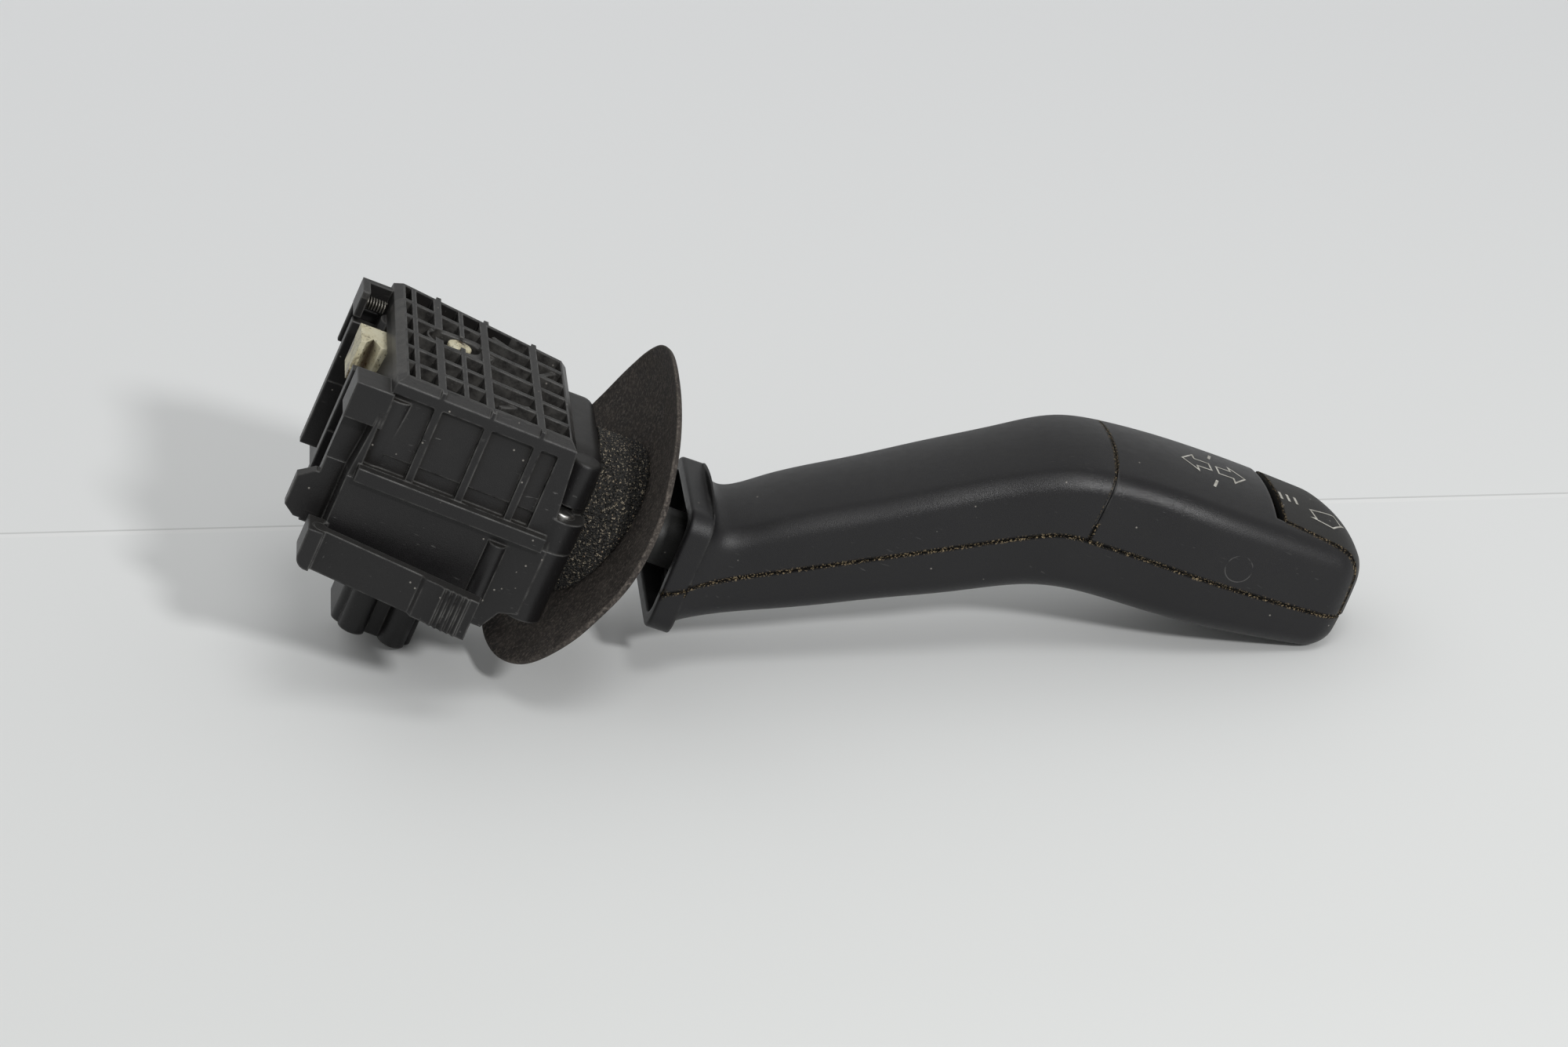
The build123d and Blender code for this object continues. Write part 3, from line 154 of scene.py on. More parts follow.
# pale dust that settles on faces looking up and in patches elsewhere
dustLook = {"facing": (0.25, 0.98), "broadScale": 0.16, "broad": (0.38, 0.68),
            "fineScale": 1.9, "fine": (0.3, 0.75)}


def makeDustGroup(look):
    tree, given, result = startGroup(
        "settledDust", [("Position", "NodeSocketVector", None), ("Upward", "NodeSocketFloat", 0.7),
                        ("Patches", "NodeSocketFloat", 0.5)], [("Mask", "NodeSocketFloat")])
    position = given.outputs["Position"]
    facing = separate(tree, addNode(tree, "ShaderNodeTexCoord").outputs["Normal"])
    up = spread(tree, facing["Z"], *look["facing"])
    broad = spread(tree, noiseOf(tree, position, look["broadScale"], 4.0), *look["broad"])
    fine = spread(tree, noiseOf(tree, position, look["fineScale"], 5.0, 0.7), *look["fine"])
    uneven = mathNode(tree, "MULTIPLY_ADD", fine, 0.5, 0.5)
    settled = times(tree, times(tree, up, given.outputs["Upward"]), uneven)
    stains = times(tree, times(tree, broad, fine), given.outputs["Patches"])
    plug(tree, mathNode(tree, "ADD", settled, stains, clamp=True), result.inputs["Mask"])
    return tree


# rounded edges: a soft normal, a mask that is 1 on the very edge and one that takes in the whole rounding
edgeLook = {"samples": 6, "line": (0.985, 0.86), "wide": (0.9985, 0.97)}


def makeEdgeGroup(look):
    tree, given, result = startGroup(
        "roundedEdge", [("Radius", "NodeSocketFloat", 0.0003)],
        [("Mask", "NodeSocketFloat"), ("Wide", "NodeSocketFloat"), ("Normal", "NodeSocketVector")])
    bevel = addNode(tree, "ShaderNodeBevel", samples=look["samples"])
    plug(tree, given.outputs["Radius"], bevel.inputs["Radius"])
    plain = addNode(tree, "ShaderNodeNewGeometry")
    dot = addNode(tree, "ShaderNodeVectorMath", operation="DOT_PRODUCT")
    plug(tree, bevel.outputs[0], dot.inputs[0])
    plug(tree, plain.outputs["Normal"], dot.inputs[1])
    plug(tree, spread(tree, dot.outputs["Value"], *look["line"]), result.inputs["Mask"])
    plug(tree, spread(tree, dot.outputs["Value"], *look["wide"]), result.inputs["Wide"])
    plug(tree, bevel.outputs[0], result.inputs["Normal"])
    return tree


# 1 deep in corners and pockets
cavityLook = {"samples": 6, "open": (0.85, 0.35)}


def makeCavityGroup(look):
    tree, given, result = startGroup(
        "cavity", [("Reach", "NodeSocketFloat", 0.003)], [("Mask", "NodeSocketFloat")])
    shade = addNode(tree, "ShaderNodeAmbientOcclusion", samples=look["samples"], only_local=True)
    plug(tree, given.outputs["Reach"], shade.inputs["Distance"])
    plug(tree, spread(tree, shade.outputs["AO"], *look["open"]), result.inputs["Mask"])
    return tree


# short hairline scratches in two directions, each with its turn and its stretch
scratchLook = {"strokes": ((0.6, (0.22, 7.0, 2.0)), (-1.1, (0.16, 9.0, 1.5))), "tilt": 0.3, "scale": 0.9,
               "line": (0.735, 0.775), "patchScale": 0.09, "patch": (0.42, 0.66)}


def makeScratchGroup(look):
    tree, given, result = startGroup(
        "hairScratches", [("Position", "NodeSocketVector", None), ("Amount", "NodeSocketFloat", 0.5)],
        [("Mask", "NodeSocketFloat")])
    position = given.outputs["Position"]
    lines = []
    for turn, stretch in look["strokes"]:
        mapping = addNode(tree, "ShaderNodeMapping", vector_type="POINT")
        mapping.inputs["Rotation"].default_value = (look["tilt"], turn, turn)
        mapping.inputs["Scale"].default_value = stretch
        plug(tree, position, mapping.inputs["Vector"])
        lines.append(spread(tree, noiseOf(tree, mapping.outputs[0], look["scale"], 1.0), *look["line"]))
    where = spread(tree, noiseOf(tree, position, look["patchScale"], 2.0), *look["patch"])
    both = times(tree, mathNode(tree, "MAXIMUM", *lines), where)
    plug(tree, times(tree, both, given.outputs["Amount"], clamp=True), result.inputs["Mask"])
    return tree


# scattered small specks of lint and grit
speckLook = {"size": (0.2, 0.1)}


def makeSpeckGroup(look):
    tree, given, result = startGroup(
        "specks", [("Position", "NodeSocketVector", None), ("Scale", "NodeSocketFloat", 1.0),
                   ("Share", "NodeSocketFloat", 0.2)], [("Mask", "NodeSocketFloat")])
    cells = addNode(tree, "ShaderNodeTexVoronoi")
    plug(tree, given.outputs["Position"], cells.inputs["Vector"])
    plug(tree, given.outputs["Scale"], cells.inputs["Scale"])
    near = spread(tree, cells.outputs["Distance"], *look["size"])
    parts = addNode(tree, "ShaderNodeSeparateColor")
    plug(tree, cells.outputs["Color"], parts.inputs[0])
    chosen = mathNode(tree, "LESS_THAN", parts.outputs[0], given.outputs["Share"])
    plug(tree, times(tree, near, chosen), result.inputs["Mask"])
    return tree


dustGroup = makeDustGroup(dustLook)
edgeGroup = makeEdgeGroup(edgeLook)
cavityGroup = makeCavityGroup(cavityLook)
scratchGroup = makeScratchGroup(scratchLook)
speckGroup = makeSpeckGroup(speckLook)


def placeGroup(tree, group, **values):
    node = tree.nodes.new("ShaderNodeGroup")
    node.node_tree = group
    for key, value in values.items():
        if isinstance(value, (int, float)):
            node.inputs[key].default_value = value
        else:
            plug(tree, value, node.inputs[key])
    return node


def startMaterial(name, roughness=0.6, metallic=0.0, specular=0.5):
    material = bpy.data.materials.new(name)
    material.use_nodes = True
    tree = material.node_tree
    shader = tree.nodes["Principled BSDF"]
    shader.inputs["Roughness"].default_value = roughness
    shader.inputs["Metallic"].default_value = metallic
    shader.inputs["Specular IOR Level"].default_value = specular
    # millimetres in the switch's own frame
    place = addNode(tree, "ShaderNodeTexCoord").outputs["Object"]
    mapping = addNode(tree, "ShaderNodeMapping", vector_type="TEXTURE")
    mapping.inputs["Location"].default_value = pivot
    mapping.inputs["Rotation"].default_value = (0.0, lean, 0.0)
    mapping.inputs["Scale"].default_value = (mm, mm, mm)
    plug(tree, place, mapping.inputs["Vector"])
    return material, tree, shader, mapping.outputs[0]


def finishSurface(tree, shader, color, rough, height=None, distance=0.0001, normal=None, strength=1.0):
    plug(tree, color, shader.inputs["Base Color"])
    plug(tree, rough, shader.inputs["Roughness"])
    if height is not None:
        bump = addNode(tree, "ShaderNodeBump", Strength=strength, Distance=distance)
        plug(tree, height, bump.inputs["Height"])
        if normal is not None:
            plug(tree, normal, bump.inputs["Normal"])
        plug(tree, bump.outputs[0], shader.inputs["Normal"])
    elif normal is not None:
        plug(tree, normal, shader.inputs["Normal"])


# dust and painted light in the pockets of the top
pocketLook = {"scale": 0.5, "patch": (0.35, 0.62), "least": 0.15}
# a faint pale ring left by a tool, broken in places
ringLook = {"scale": 0.6, "patch": (0.42, 0.55), "strength": 0.45}
# places that a hand has polished
polishLook = {"reach": (9.0, 1.0), "scale": 0.35, "patch": (0.3, 0.6), "least": 0.75}


def pocketDustAndLight(tree, position, look, pockets):
    # pockets holds the lowest and highest z, then the middle and half width in y
    (low, high), (middle, half) = pockets
    parts = separate(tree, position)
    inHeight = mathNode(tree, "COMPARE", parts["Z"], (low + high) / 2, (high - low) / 2)
    inWidth = mathNode(tree, "COMPARE", parts["Y"], middle, half)
    patchy = spread(tree, noiseOf(tree, position, look["scale"], 5.0, 0.65), *look["patch"], look["least"], 1.0)
    return times(tree, times(tree, inHeight, inWidth), patchy)


def toolRing(tree, position, look, spot, radius, halfLine):
    line = mathNode(tree, "COMPARE", distanceTo(tree, position, spot), radius, halfLine)
    broken = spread(tree, noiseOf(tree, position, look["scale"], 3.0), *look["patch"], 0.0, look["strength"])
    return times(tree, line, broken)


def polishedSpot(tree, position, look, spot, stretch):
    squeezed = addNode(tree, "ShaderNodeVectorMath", operation="MULTIPLY")
    plug(tree, position, squeezed.inputs[0])
    squeezed.inputs[1].default_value = stretch
    away = distanceTo(tree, squeezed.outputs[0], [a * b for a, b in zip(spot, stretch)])
    patchy = spread(tree, noiseOf(tree, position, look["scale"], 2.0), *look["patch"], look["least"], 1.0)
    return times(tree, spread(tree, away, *look["reach"]), patchy)


def makePlastic(name, look):
    # black moulded plastic with settled dust, worn edges with a painted highlight on their rounding, hairline
    # scratches and grime in its corners
    material, tree, shader, position = startMaterial(name, specular=look["specular"])
    edge = placeGroup(tree, edgeGroup, Radius=look["edge"])
    dust = placeGroup(tree, dustGroup, Position=position, Upward=look["dust"], Patches=look["patches"])
    cavity = placeGroup(tree, cavityGroup, Reach=look["reach"])
    scratches = placeGroup(tree, scratchGroup, Position=position, Amount=look["scratches"])
    specks = placeGroup(tree, speckGroup, Position=position, Scale=look["speckScale"], Share=look["speckShare"])
    rubbedAndSheen = mathNode(tree, "MAXIMUM", edge.outputs["Mask"], times(tree, edge.outputs["Wide"], look["rubbedAndSheen"]))
    wear = spread(tree, noiseOf(tree, position, look["wearScale"], 4.0), *look["wearPatch"], 0.0, look["wear"])
    dusty = times(tree, dust.outputs["Mask"], look["dustCover"])
    color = blendColor(tree, dusty, look["color"], look["dustColor"])
    color = blendColor(tree, times(tree, cavity.outputs["Mask"], look["grime"]), color, look["grimeColor"])
    if "pockets" in look:
        inPockets = pocketDustAndLight(tree, position, pocketLook, look["pockets"])
        # painted light mixed with dust: the pockets of the top are drawn lighter
        color = blendColor(tree, inPockets, color, look["pocketDustAndLightColor"])
    # painted highlight mixed with wear: the edges are drawn lighter, and on the case the whole rounding of each
    # edge too
    color = blendColor(tree, times(tree, rubbedAndSheen, wear), color, look["wornAndSheenColor"])
    color = blendColor(tree, scratches.outputs["Mask"], color, look["wornAndSheenColor"])
    color = blendColor(tree, times(tree, specks.outputs["Mask"], look["speckCover"]), color, look["speckColor"])
    # painted shade: the cavity mask cuts the shine in corners, and grooves don't shine
    shade = times(tree, cavity.outputs["Mask"], look["dull"])
    if "seams" in look:
        groove = times(tree, look["seams"](tree, position, seamLook), edge.outputs["Wide"])
        crumbs = spread(tree, noiseOf(tree, position, look["crumbScale"], 4.0, 0.7), *look["crumbPatch"])
        filled = times(tree, groove, times(tree, crumbs, edge.outputs["Wide"]))
        color = blendColor(tree, groove, color, look["grooveColor"])
        color = blendColor(tree, filled, color, look["seamColor"])
        shade = mathNode(tree, "MAXIMUM", shade, groove)
    plug(tree, spread(tree, shade, 0.0, 1.0, look["specular"], 0.02), shader.inputs["Specular IOR Level"])
    dustyRough = mathNode(tree, "MULTIPLY_ADD", dust.outputs["Mask"], look["dustRough"], look["roughness"])
    cloudRough = times(tree, noiseOf(tree, position, look["cloudScale"], 3.0), look["cloudRough"])
    rough = mathNode(tree, "ADD", dustyRough, cloudRough, clamp=True)
    for spot, radius, halfLine in look.get("rings", ()):
        ring = toolRing(tree, position, ringLook, spot, radius, halfLine)
        color = blendColor(tree, ring, color, look["wornAndSheenColor"])
    for spot, stretch, gloss in look.get("polished", ()):
        polish = times(tree, polishedSpot(tree, position, polishLook, spot, stretch), gloss)
        rough = mathNode(tree, "SUBTRACT", rough, polish, clamp=True)
    cuts = times(tree, scratches.outputs["Mask"], -look["scratchDepth"])
    grain = mathNode(tree, "ADD", noiseOf(tree, position, look["grainScale"], 2.0), cuts)
    finishSurface(tree, shader, color, rough, grain, look["grainDepth"], edge.outputs["Normal"])
    return material


# seams of the grip, in millimetres of the switch's frame
seamLook = {"lines": (((28.5, -8.05), (97.45, 33.8)), ((97.45, 33.8), (161.85, 37.4))), "reach": 1.3,
            "splitX": 100.3, "splitBow": 1.9, "splitReach": 1.0, "halfWidth": 16.3, "buttonX": 136.0}


def gripSeamZone(tree, position, look):
    # the long seam, the bowed split between the upper shells, and all that lies round the button
    parts = separate(tree, position)
    x, y, z = parts["X"], parts["Y"], parts["Z"]
    zone = mathNode(tree, "GREATER_THAN", x, look["buttonX"])
    for (startX, startZ), (endX, endZ) in look["lines"]:
        slope = (endZ - startZ) / (endX - startX)
        height = mathNode(tree, "MULTIPLY_ADD", x, slope, startZ - slope * startX)
        gap = mathNode(tree, "ABSOLUTE", mathNode(tree, "SUBTRACT", z, height))
        zone = mathNode(tree, "MAXIMUM", zone, mathNode(tree, "LESS_THAN", gap, look["reach"]))
    share = mathNode(tree, "POWER", mathNode(tree, "DIVIDE", y, look["halfWidth"]), 2.0)
    arc = mathNode(tree, "MULTIPLY_ADD", share, -look["splitBow"], look["splitX"] + look["splitBow"])
    gap = mathNode(tree, "ABSOLUTE", mathNode(tree, "SUBTRACT", x, arc))
    return mathNode(tree, "MAXIMUM", zone, mathNode(tree, "LESS_THAN", gap, look["splitReach"]))


caseLook = {"color": (0.0074, 0.007, 0.0073), "roughness": 0.31, "cloudScale": 0.5, "cloudRough": 0.12,
            "specular": 0.33, "dull": 0.9, "grainScale": 5.0, "grainDepth": 0.00004,
            "dustColor": (0.05, 0.048, 0.044), "dust": 0.6, "patches": 0.14, "dustCover": 0.6,
            "dustRough": 0.22, "grimeColor": (0.03, 0.027, 0.023), "grime": 0.3, "reach": 0.003,
            "wornAndSheenColor": (0.1, 0.098, 0.094), "wear": 1.0, "wearScale": 0.35, "wearPatch": (0.32, 0.62),
            "rubbedAndSheen": 0.45, "edge": 0.0005, "scratches": 0.5, "scratchDepth": 1.5,
            "speckColor": (0.3, 0.28, 0.25), "speckScale": 0.9, "speckShare": 0.025, "speckCover": 0.6}
coverLook = dict(caseLook, pockets=((16.2, 18.9), (1.6, 17.6)), pocketDustAndLightColor=(0.05, 0.048, 0.045))
gripLook = dict(caseLook, color=(0.0072, 0.0069, 0.0078), roughness=0.32, grainScale=7.0, grainDepth=0.00005,
                dustColor=(0.036, 0.034, 0.029), dust=0.12, dustCover=0.45, grime=0.15,
                wear=0.4, rubbedAndSheen=0.0, edge=0.0009, scratches=0.3, speckShare=0.012,
                seams=gripSeamZone, grooveColor=(0.002, 0.0018, 0.0015), seamColor=(0.26, 0.2, 0.12),
                crumbScale=2.6, crumbPatch=(0.54, 0.6), rings=(((130.0, -16.8, 39.8), 2.6, 0.1),),
                polished=(((107.5, -14.6, 46.6), (0.55, 0.9, 0.6), 0.12),
                          ((78.0, -14.6, 38.0), (0.14, 0.9, 0.35), 0.1)))
armLook = dict(caseLook, color=(0.02, 0.02, 0.019), roughness=0.4, dust=0.3, dustCover=0.4)
carrierLook = dict(caseLook, color=(0.03, 0.03, 0.03), dust=0.1)
buttonLook = dict(gripLook, color=(0.0118, 0.0116, 0.0112), dust=0.45, roughness=0.44)

casePlastic = makePlastic("casePlastic", caseLook)
coverPlastic = makePlastic("coverPlastic", coverLook)
gripPlastic = makePlastic("gripPlastic", gripLook)
armPlastic = makePlastic("armPlastic", armLook)
carrierPlastic = makePlastic("carrierPlastic", carrierLook)
buttonPlastic = makePlastic("buttonPlastic", buttonLook)


# acetal that has aged and taken up brown grease
creamLook = {"clean": (0.52, 0.49, 0.36), "aged": (0.4, 0.35, 0.21), "agedScale": 0.3, "agedPatch": (0.4, 0.75),
             "grease": (0.045, 0.03, 0.016), "smearScale": 0.3, "smearPatch": (0.56, 0.66), "reach": 0.0055,
             "chip": (0.03, 0.028, 0.025), "chipScale": 2.1, "chipPatch": (0.64, 0.67),
             "roughness": (0.5, 0.25), "edge": 0.0003, "grainScale": 1.6, "grainDepth": 0.0001}


def makeCreamPlastic(look):
    material, tree, shader, position = startMaterial("creamPlastic")
    edge = placeGroup(tree, edgeGroup, Radius=look["edge"])
    cavity = placeGroup(tree, cavityGroup, Reach=look["reach"])
    aged = spread(tree, noiseOf(tree, position, look["agedScale"], 3.0), *look["agedPatch"])
    smear = spread(tree, noiseOf(tree, position, look["smearScale"], 5.0, 0.6), *look["smearPatch"])
    chips = spread(tree, noiseOf(tree, position, look["chipScale"], 2.0), *look["chipPatch"])
    color = blendColor(tree, aged, look["clean"], look["aged"])
    color = blendColor(tree, mathNode(tree, "MAXIMUM", smear, cavity.outputs["Mask"]), color, look["grease"])
    color = blendColor(tree, chips, color, look["chip"])
    rough = spread(tree, smear, 0.0, 1.0, *look["roughness"])
    grain = noiseOf(tree, position, look["grainScale"], 4.0)
    finishSurface(tree, shader, color, rough, grain, look["grainDepth"], edge.outputs["Normal"])
    return material


# thin felt-like rubber, browned by dust, paler where its rim is worn
rubberLook = {"color": (0.019, 0.016, 0.0145), "dust": (0.072, 0.061, 0.053), "dustCover": 0.6,
              "mottleScale": 0.22, "mottlePatch": (0.36, 0.66), "pill": (0.13, 0.112, 0.097),
              "fibreScale": 1.5, "fibrePatch": (0.48, 0.66), "fibreCover": 0.85, "fibreDepth": 0.00025,
              "rim": (0.17, 0.15, 0.125), "rimScale": 0.5, "rimPatch": (0.35, 0.6), "rimCover": (0.1, 0.8),
              "speck": (0.3, 0.26, 0.2), "speckScale": 1.3, "speckShare": 0.05, "speckCover": 0.5,
              "specular": 0.25, "edge": 0.0006, "roughness": (0.75, 0.95)}


def makeSkirtRubber(look):
    material, tree, shader, position = startMaterial("skirtRubber", specular=look["specular"])
    edge = placeGroup(tree, edgeGroup, Radius=look["edge"])
    specks = placeGroup(tree, speckGroup, Position=position, Scale=look["speckScale"], Share=look["speckShare"])
    mottled = spread(tree, noiseOf(tree, position, look["mottleScale"], 6.0, 0.75), *look["mottlePatch"])
    fibres = noiseOf(tree, position, look["fibreScale"], 4.0, 0.75)
    wear = spread(tree, noiseOf(tree, position, look["rimScale"], 3.0), *look["rimPatch"], *look["rimCover"])
    color = blendColor(tree, times(tree, mottled, look["dustCover"]), look["color"], look["dust"])
    pilled = spread(tree, fibres, *look["fibrePatch"], 0.0, look["fibreCover"])
    color = blendColor(tree, pilled, color, look["pill"])
    color = blendColor(tree, times(tree, edge.outputs["Mask"], wear), color, look["rim"])
    color = blendColor(tree, times(tree, specks.outputs["Mask"], look["speckCover"]), color, look["speck"])
    rough = spread(tree, mottled, 0.0, 1.0, *look["roughness"])
    finishSurface(tree, shader, color, rough, fibres, look["fibreDepth"], edge.outputs["Normal"])
    return material


# open-cell foam: painted shade in the pits, and painted glints, some of them warm, on the dusty cell walls
cellLook = {"paintedPitShade": (0.003, 0.0026, 0.002), "wall": (0.01, 0.009, 0.0075), "scale": 2.6, "walls": (0.25, 0.62),
            "glint": (0.34, 0.29, 0.21), "glintScale": 2.2, "glintPatch": (0.58, 0.66),
            "warmGlint": (0.3, 0.15, 0.06), "warmGlintScale": 1.4, "warmGlintPatch": (0.58, 0.66), "warmGlintCover": 0.8,
            "specular": 0.6, "roughness": (0.35, 0.8), "crumbScale": 3.0, "crumbHeight": 0.5, "depth": 0.0006}


def makeFoam(look):
    material, tree, shader, position = startMaterial("openFoam", specular=look["specular"])
    cells = addNode(tree, "ShaderNodeTexVoronoi", Scale=look["scale"])
    plug(tree, position, cells.inputs["Vector"])
    away = cells.outputs["Distance"]
    glints = spread(tree, noiseOf(tree, position, look["glintScale"], 2.0, 0.65), *look["glintPatch"])
    warmGlint = noiseOf(tree, position, look["warmGlintScale"], 3.0, 0.7)
    warmGlint = spread(tree, warmGlint, *look["warmGlintPatch"], 0.0, look["warmGlintCover"])
    # painted shade: darker towards the middle of each cell
    color = blendColor(tree, spread(tree, away, *look["walls"]), look["paintedPitShade"], look["wall"])
    # painted glints: pale patches stand in for light caught by the cell walls, some tinted warm
    color = blendColor(tree, glints, color, look["glint"])
    color = blendColor(tree, times(tree, warmGlint, glints), color, look["warmGlint"])
    crumbs = times(tree, noiseOf(tree, position, look["crumbScale"], 3.0), look["crumbHeight"])
    rough = spread(tree, away, 0.0, 0.6, *look["roughness"])
    finishSurface(tree, shader, color, rough, mathNode(tree, "ADD", away, crumbs), look["depth"])
    return material


metalLook = {"edge": 0.0002, "scratches": 0.8, "dullScale": 1.2, "dullPatch": (0.45, 0.7), "dullCover": 0.5,
             "dullRough": 0.25, "grainScale": 4.0, "grainDepth": 0.00002}


def makeMetal(name, color, roughness, scratchColor):
    look = metalLook
    material, tree, shader, position = startMaterial(name, metallic=1.0)
    edge = placeGroup(tree, edgeGroup, Radius=look["edge"])
    scratches = placeGroup(tree, scratchGroup, Position=position, Amount=look["scratches"])
    dull = noiseOf(tree, position, look["dullScale"], 4.0)
    dull = spread(tree, dull, *look["dullPatch"], 0.0, look["dullCover"])
    marked = mathNode(tree, "MAXIMUM", dull, scratches.outputs["Mask"])
    surface = blendColor(tree, marked, color, scratchColor)
    rough = spread(tree, dull, 0.0, look["dullCover"], roughness, roughness + look["dullRough"])
    grain = noiseOf(tree, position, look["grainScale"], 3.0)
    finishSurface(tree, shader, surface, rough, grain, look["grainDepth"], edge.outputs["Normal"])
    return material


def makePlainMaterial(name, color, second, roughness):
    # two close shades in soft patches, for what lies inside and for the print
    material, tree, shader, position = startMaterial(name)
    surface = blendColor(tree, spread(tree, noiseOf(tree, position, 0.8, 4.0), 0.35, 0.65), color, second)
    rough = spread(tree, noiseOf(tree, position, 2.0), 0.3, 0.7, roughness, roughness + 0.1)
    finishSurface(tree, shader, surface, rough)
    return material


creamPlastic = makeCreamPlastic(creamLook)
skirtRubber = makeSkirtRubber(rubberLook)
openFoam = makeFoam(cellLook)
brightSteel = makeMetal("brightSteel", (0.62, 0.61, 0.59), 0.28, (0.2, 0.19, 0.17))
springSteel = makeMetal("springSteel", (0.2, 0.19, 0.17), 0.34, (0.07, 0.06, 0.05))
contactBrass = makeMetal("contactBrass", (0.72, 0.55, 0.26), 0.3, (0.35, 0.24, 0.1))
boardLaminate = makePlainMaterial("boardLaminate", (0.3, 0.17, 0.06), (0.24, 0.13, 0.045), 0.45)
leadSheath = makePlainMaterial("leadSheath", (0.09, 0.02, 0.015), (0.07, 0.016, 0.012), 0.5)
paleInk = makePlainMaterial("paleInk", (0.44, 0.43, 0.39), (0.26, 0.25, 0.22), 0.6)
slotMaterial = {"case_plastic": casePlastic, "carrier_plastic": carrierPlastic, "arm_plastic": armPlastic,
                "grip_plastic": gripPlastic, "button_plastic": buttonPlastic, "slide_plastic": creamPlastic,
                "seal_rubber": skirtRubber, "foam": openFoam, "steel": brightSteel,
                "brass_contact": contactBrass, "board": boardLaminate, "lead_sheath": leadSheath}
nodeMaterial = {name: slotMaterial[slotOf[name]] for name in frame["nodes"]}
nodeMaterial["case_cover"] = coverPlastic
for name, node in frame["nodes"].items():
    node.data.materials.clear()
    node.data.materials.append(nodeMaterial[name])
print("materials made")


def keepPiece(name, build, material, body, replaced=()):
    mesh = bpy.data.meshes.new(name)
    build.to_mesh(mesh)
    build.free()
    mesh.materials.append(material)
    piece = bpy.data.objects.new(name, mesh)
    scene.collection.objects.link(piece)
    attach(piece, body)
    if replaced:
        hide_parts(*replaced)
    return piece


def smoothByAngle(build, limit):
    for face in build.faces:
        face.smooth = True
    for edge in build.edges:
        edge.smooth = len(edge.link_faces) == 2 and edge.calc_face_angle(math.pi) < math.radians(limit)


def dressNode(node, limit=32.0):
    # a joined copy of a solid, so that its curved faces shade smoothly
    build = bmesh.new()
    build.from_mesh(frame["nodes"][node].data)
    bmesh.ops.remove_doubles(build, verts=build.verts, dist=2 * smallStep)
    smoothByAngle(build, limit)
    return keepPiece(node + "_dressed", build, nodeMaterial[node], bodyOf[node], (node,))


for name in ("case_cover", "case_tray", "return_post", "release_latch", "cancel_pawl", "pawl_pin", "lever_arm",
             "grip_lower_shell", "grip_upper_inner_shell", "grip_upper_outer_shell", "end_button"):
    dressNode(name)
print("shells dressed")

# the coil spring at the rear of the case
springLook = {"wire": 0.19, "coils": 7, "steps": 18, "sides": 8, "radius": 1.2, "reach": 2.1}
coilLow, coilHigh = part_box("pawl_spring")


def makeCoil(name, node, start, end, look):
    # start and end of the spring's axis in the switch's frame
    build = bmesh.new()
    axis = (end - start).normalized()
    length = (end - start).length - 2 * look["wire"]
    side = axis.orthogonal().normalized()
    first = start + axis * look["wire"]
    ring = bmesh.ops.create_circle(build, cap_ends=False, segments=look["sides"], radius=look["wire"])
    stand = Matrix((side, axis, side.cross(axis))).transposed().to_4x4()
    place = Matrix.Translation(first + side * (look["radius"] - look["wire"])) @ stand
    bmesh.ops.transform(build, matrix=place, verts=ring["verts"])
    steps = int(look["coils"] * look["steps"])
    bmesh.ops.spin(build, geom=build.edges[:], cent=first, axis=axis, dvec=axis * (length / steps),
                   angle=2 * math.pi * look["coils"], steps=steps, use_merge=False)
    bmesh.ops.recalc_face_normals(build, faces=build.faces)
    for face in build.faces:
        face.smooth = True
    bmesh.ops.holes_fill(build, edges=[edge for edge in build.edges if len(edge.link_faces) == 1])
    bmesh.ops.transform(build, matrix=toRow, verts=build.verts)
    return keepPiece(name, build, springSteel, bodyOf[node], (node,))


springMiddle = fromRow @ ((Vector(coilLow) + Vector(coilHigh)) / 2)
springReach = Vector((springLook["reach"], 0, 0))
makeCoil("pawl_coil", "pawl_spring", springMiddle - springReach, springMiddle + springReach, springLook)
print("spring wound")

# moulded details that the solids leave out: a web below the spring hook and a round boss above the rivet
webLook = {"start": (-33.0, 24.25, 4.5), "end": (-27.6, 25.6, 12.4), "round": 0.25}
bossLook = {"foot": (10.4, -16.1, 6.5), "top": 15.2, "radius": 2.9, "steps": 64, "round": 0.7}


def makeWeb(look):
    start, end = Vector(look["start"]), Vector(look["end"])
    build = bmesh.new()
    bmesh.ops.create_cube(build, size=1.0)
    for vert in build.verts:
        vert.co = [a + (b - a) * (c + 0.5) for a, b, c in zip(start, end, vert.co)]
    bmesh.ops.bevel(build, geom=build.edges[:], offset=look["round"], segments=2, profile=0.5, affect="EDGES",
                    material=-1)
    bmesh.ops.transform(build, matrix=toRow, verts=build.verts)
    return keepPiece("hook_web", build, casePlastic, bodyOf["case_cover"])


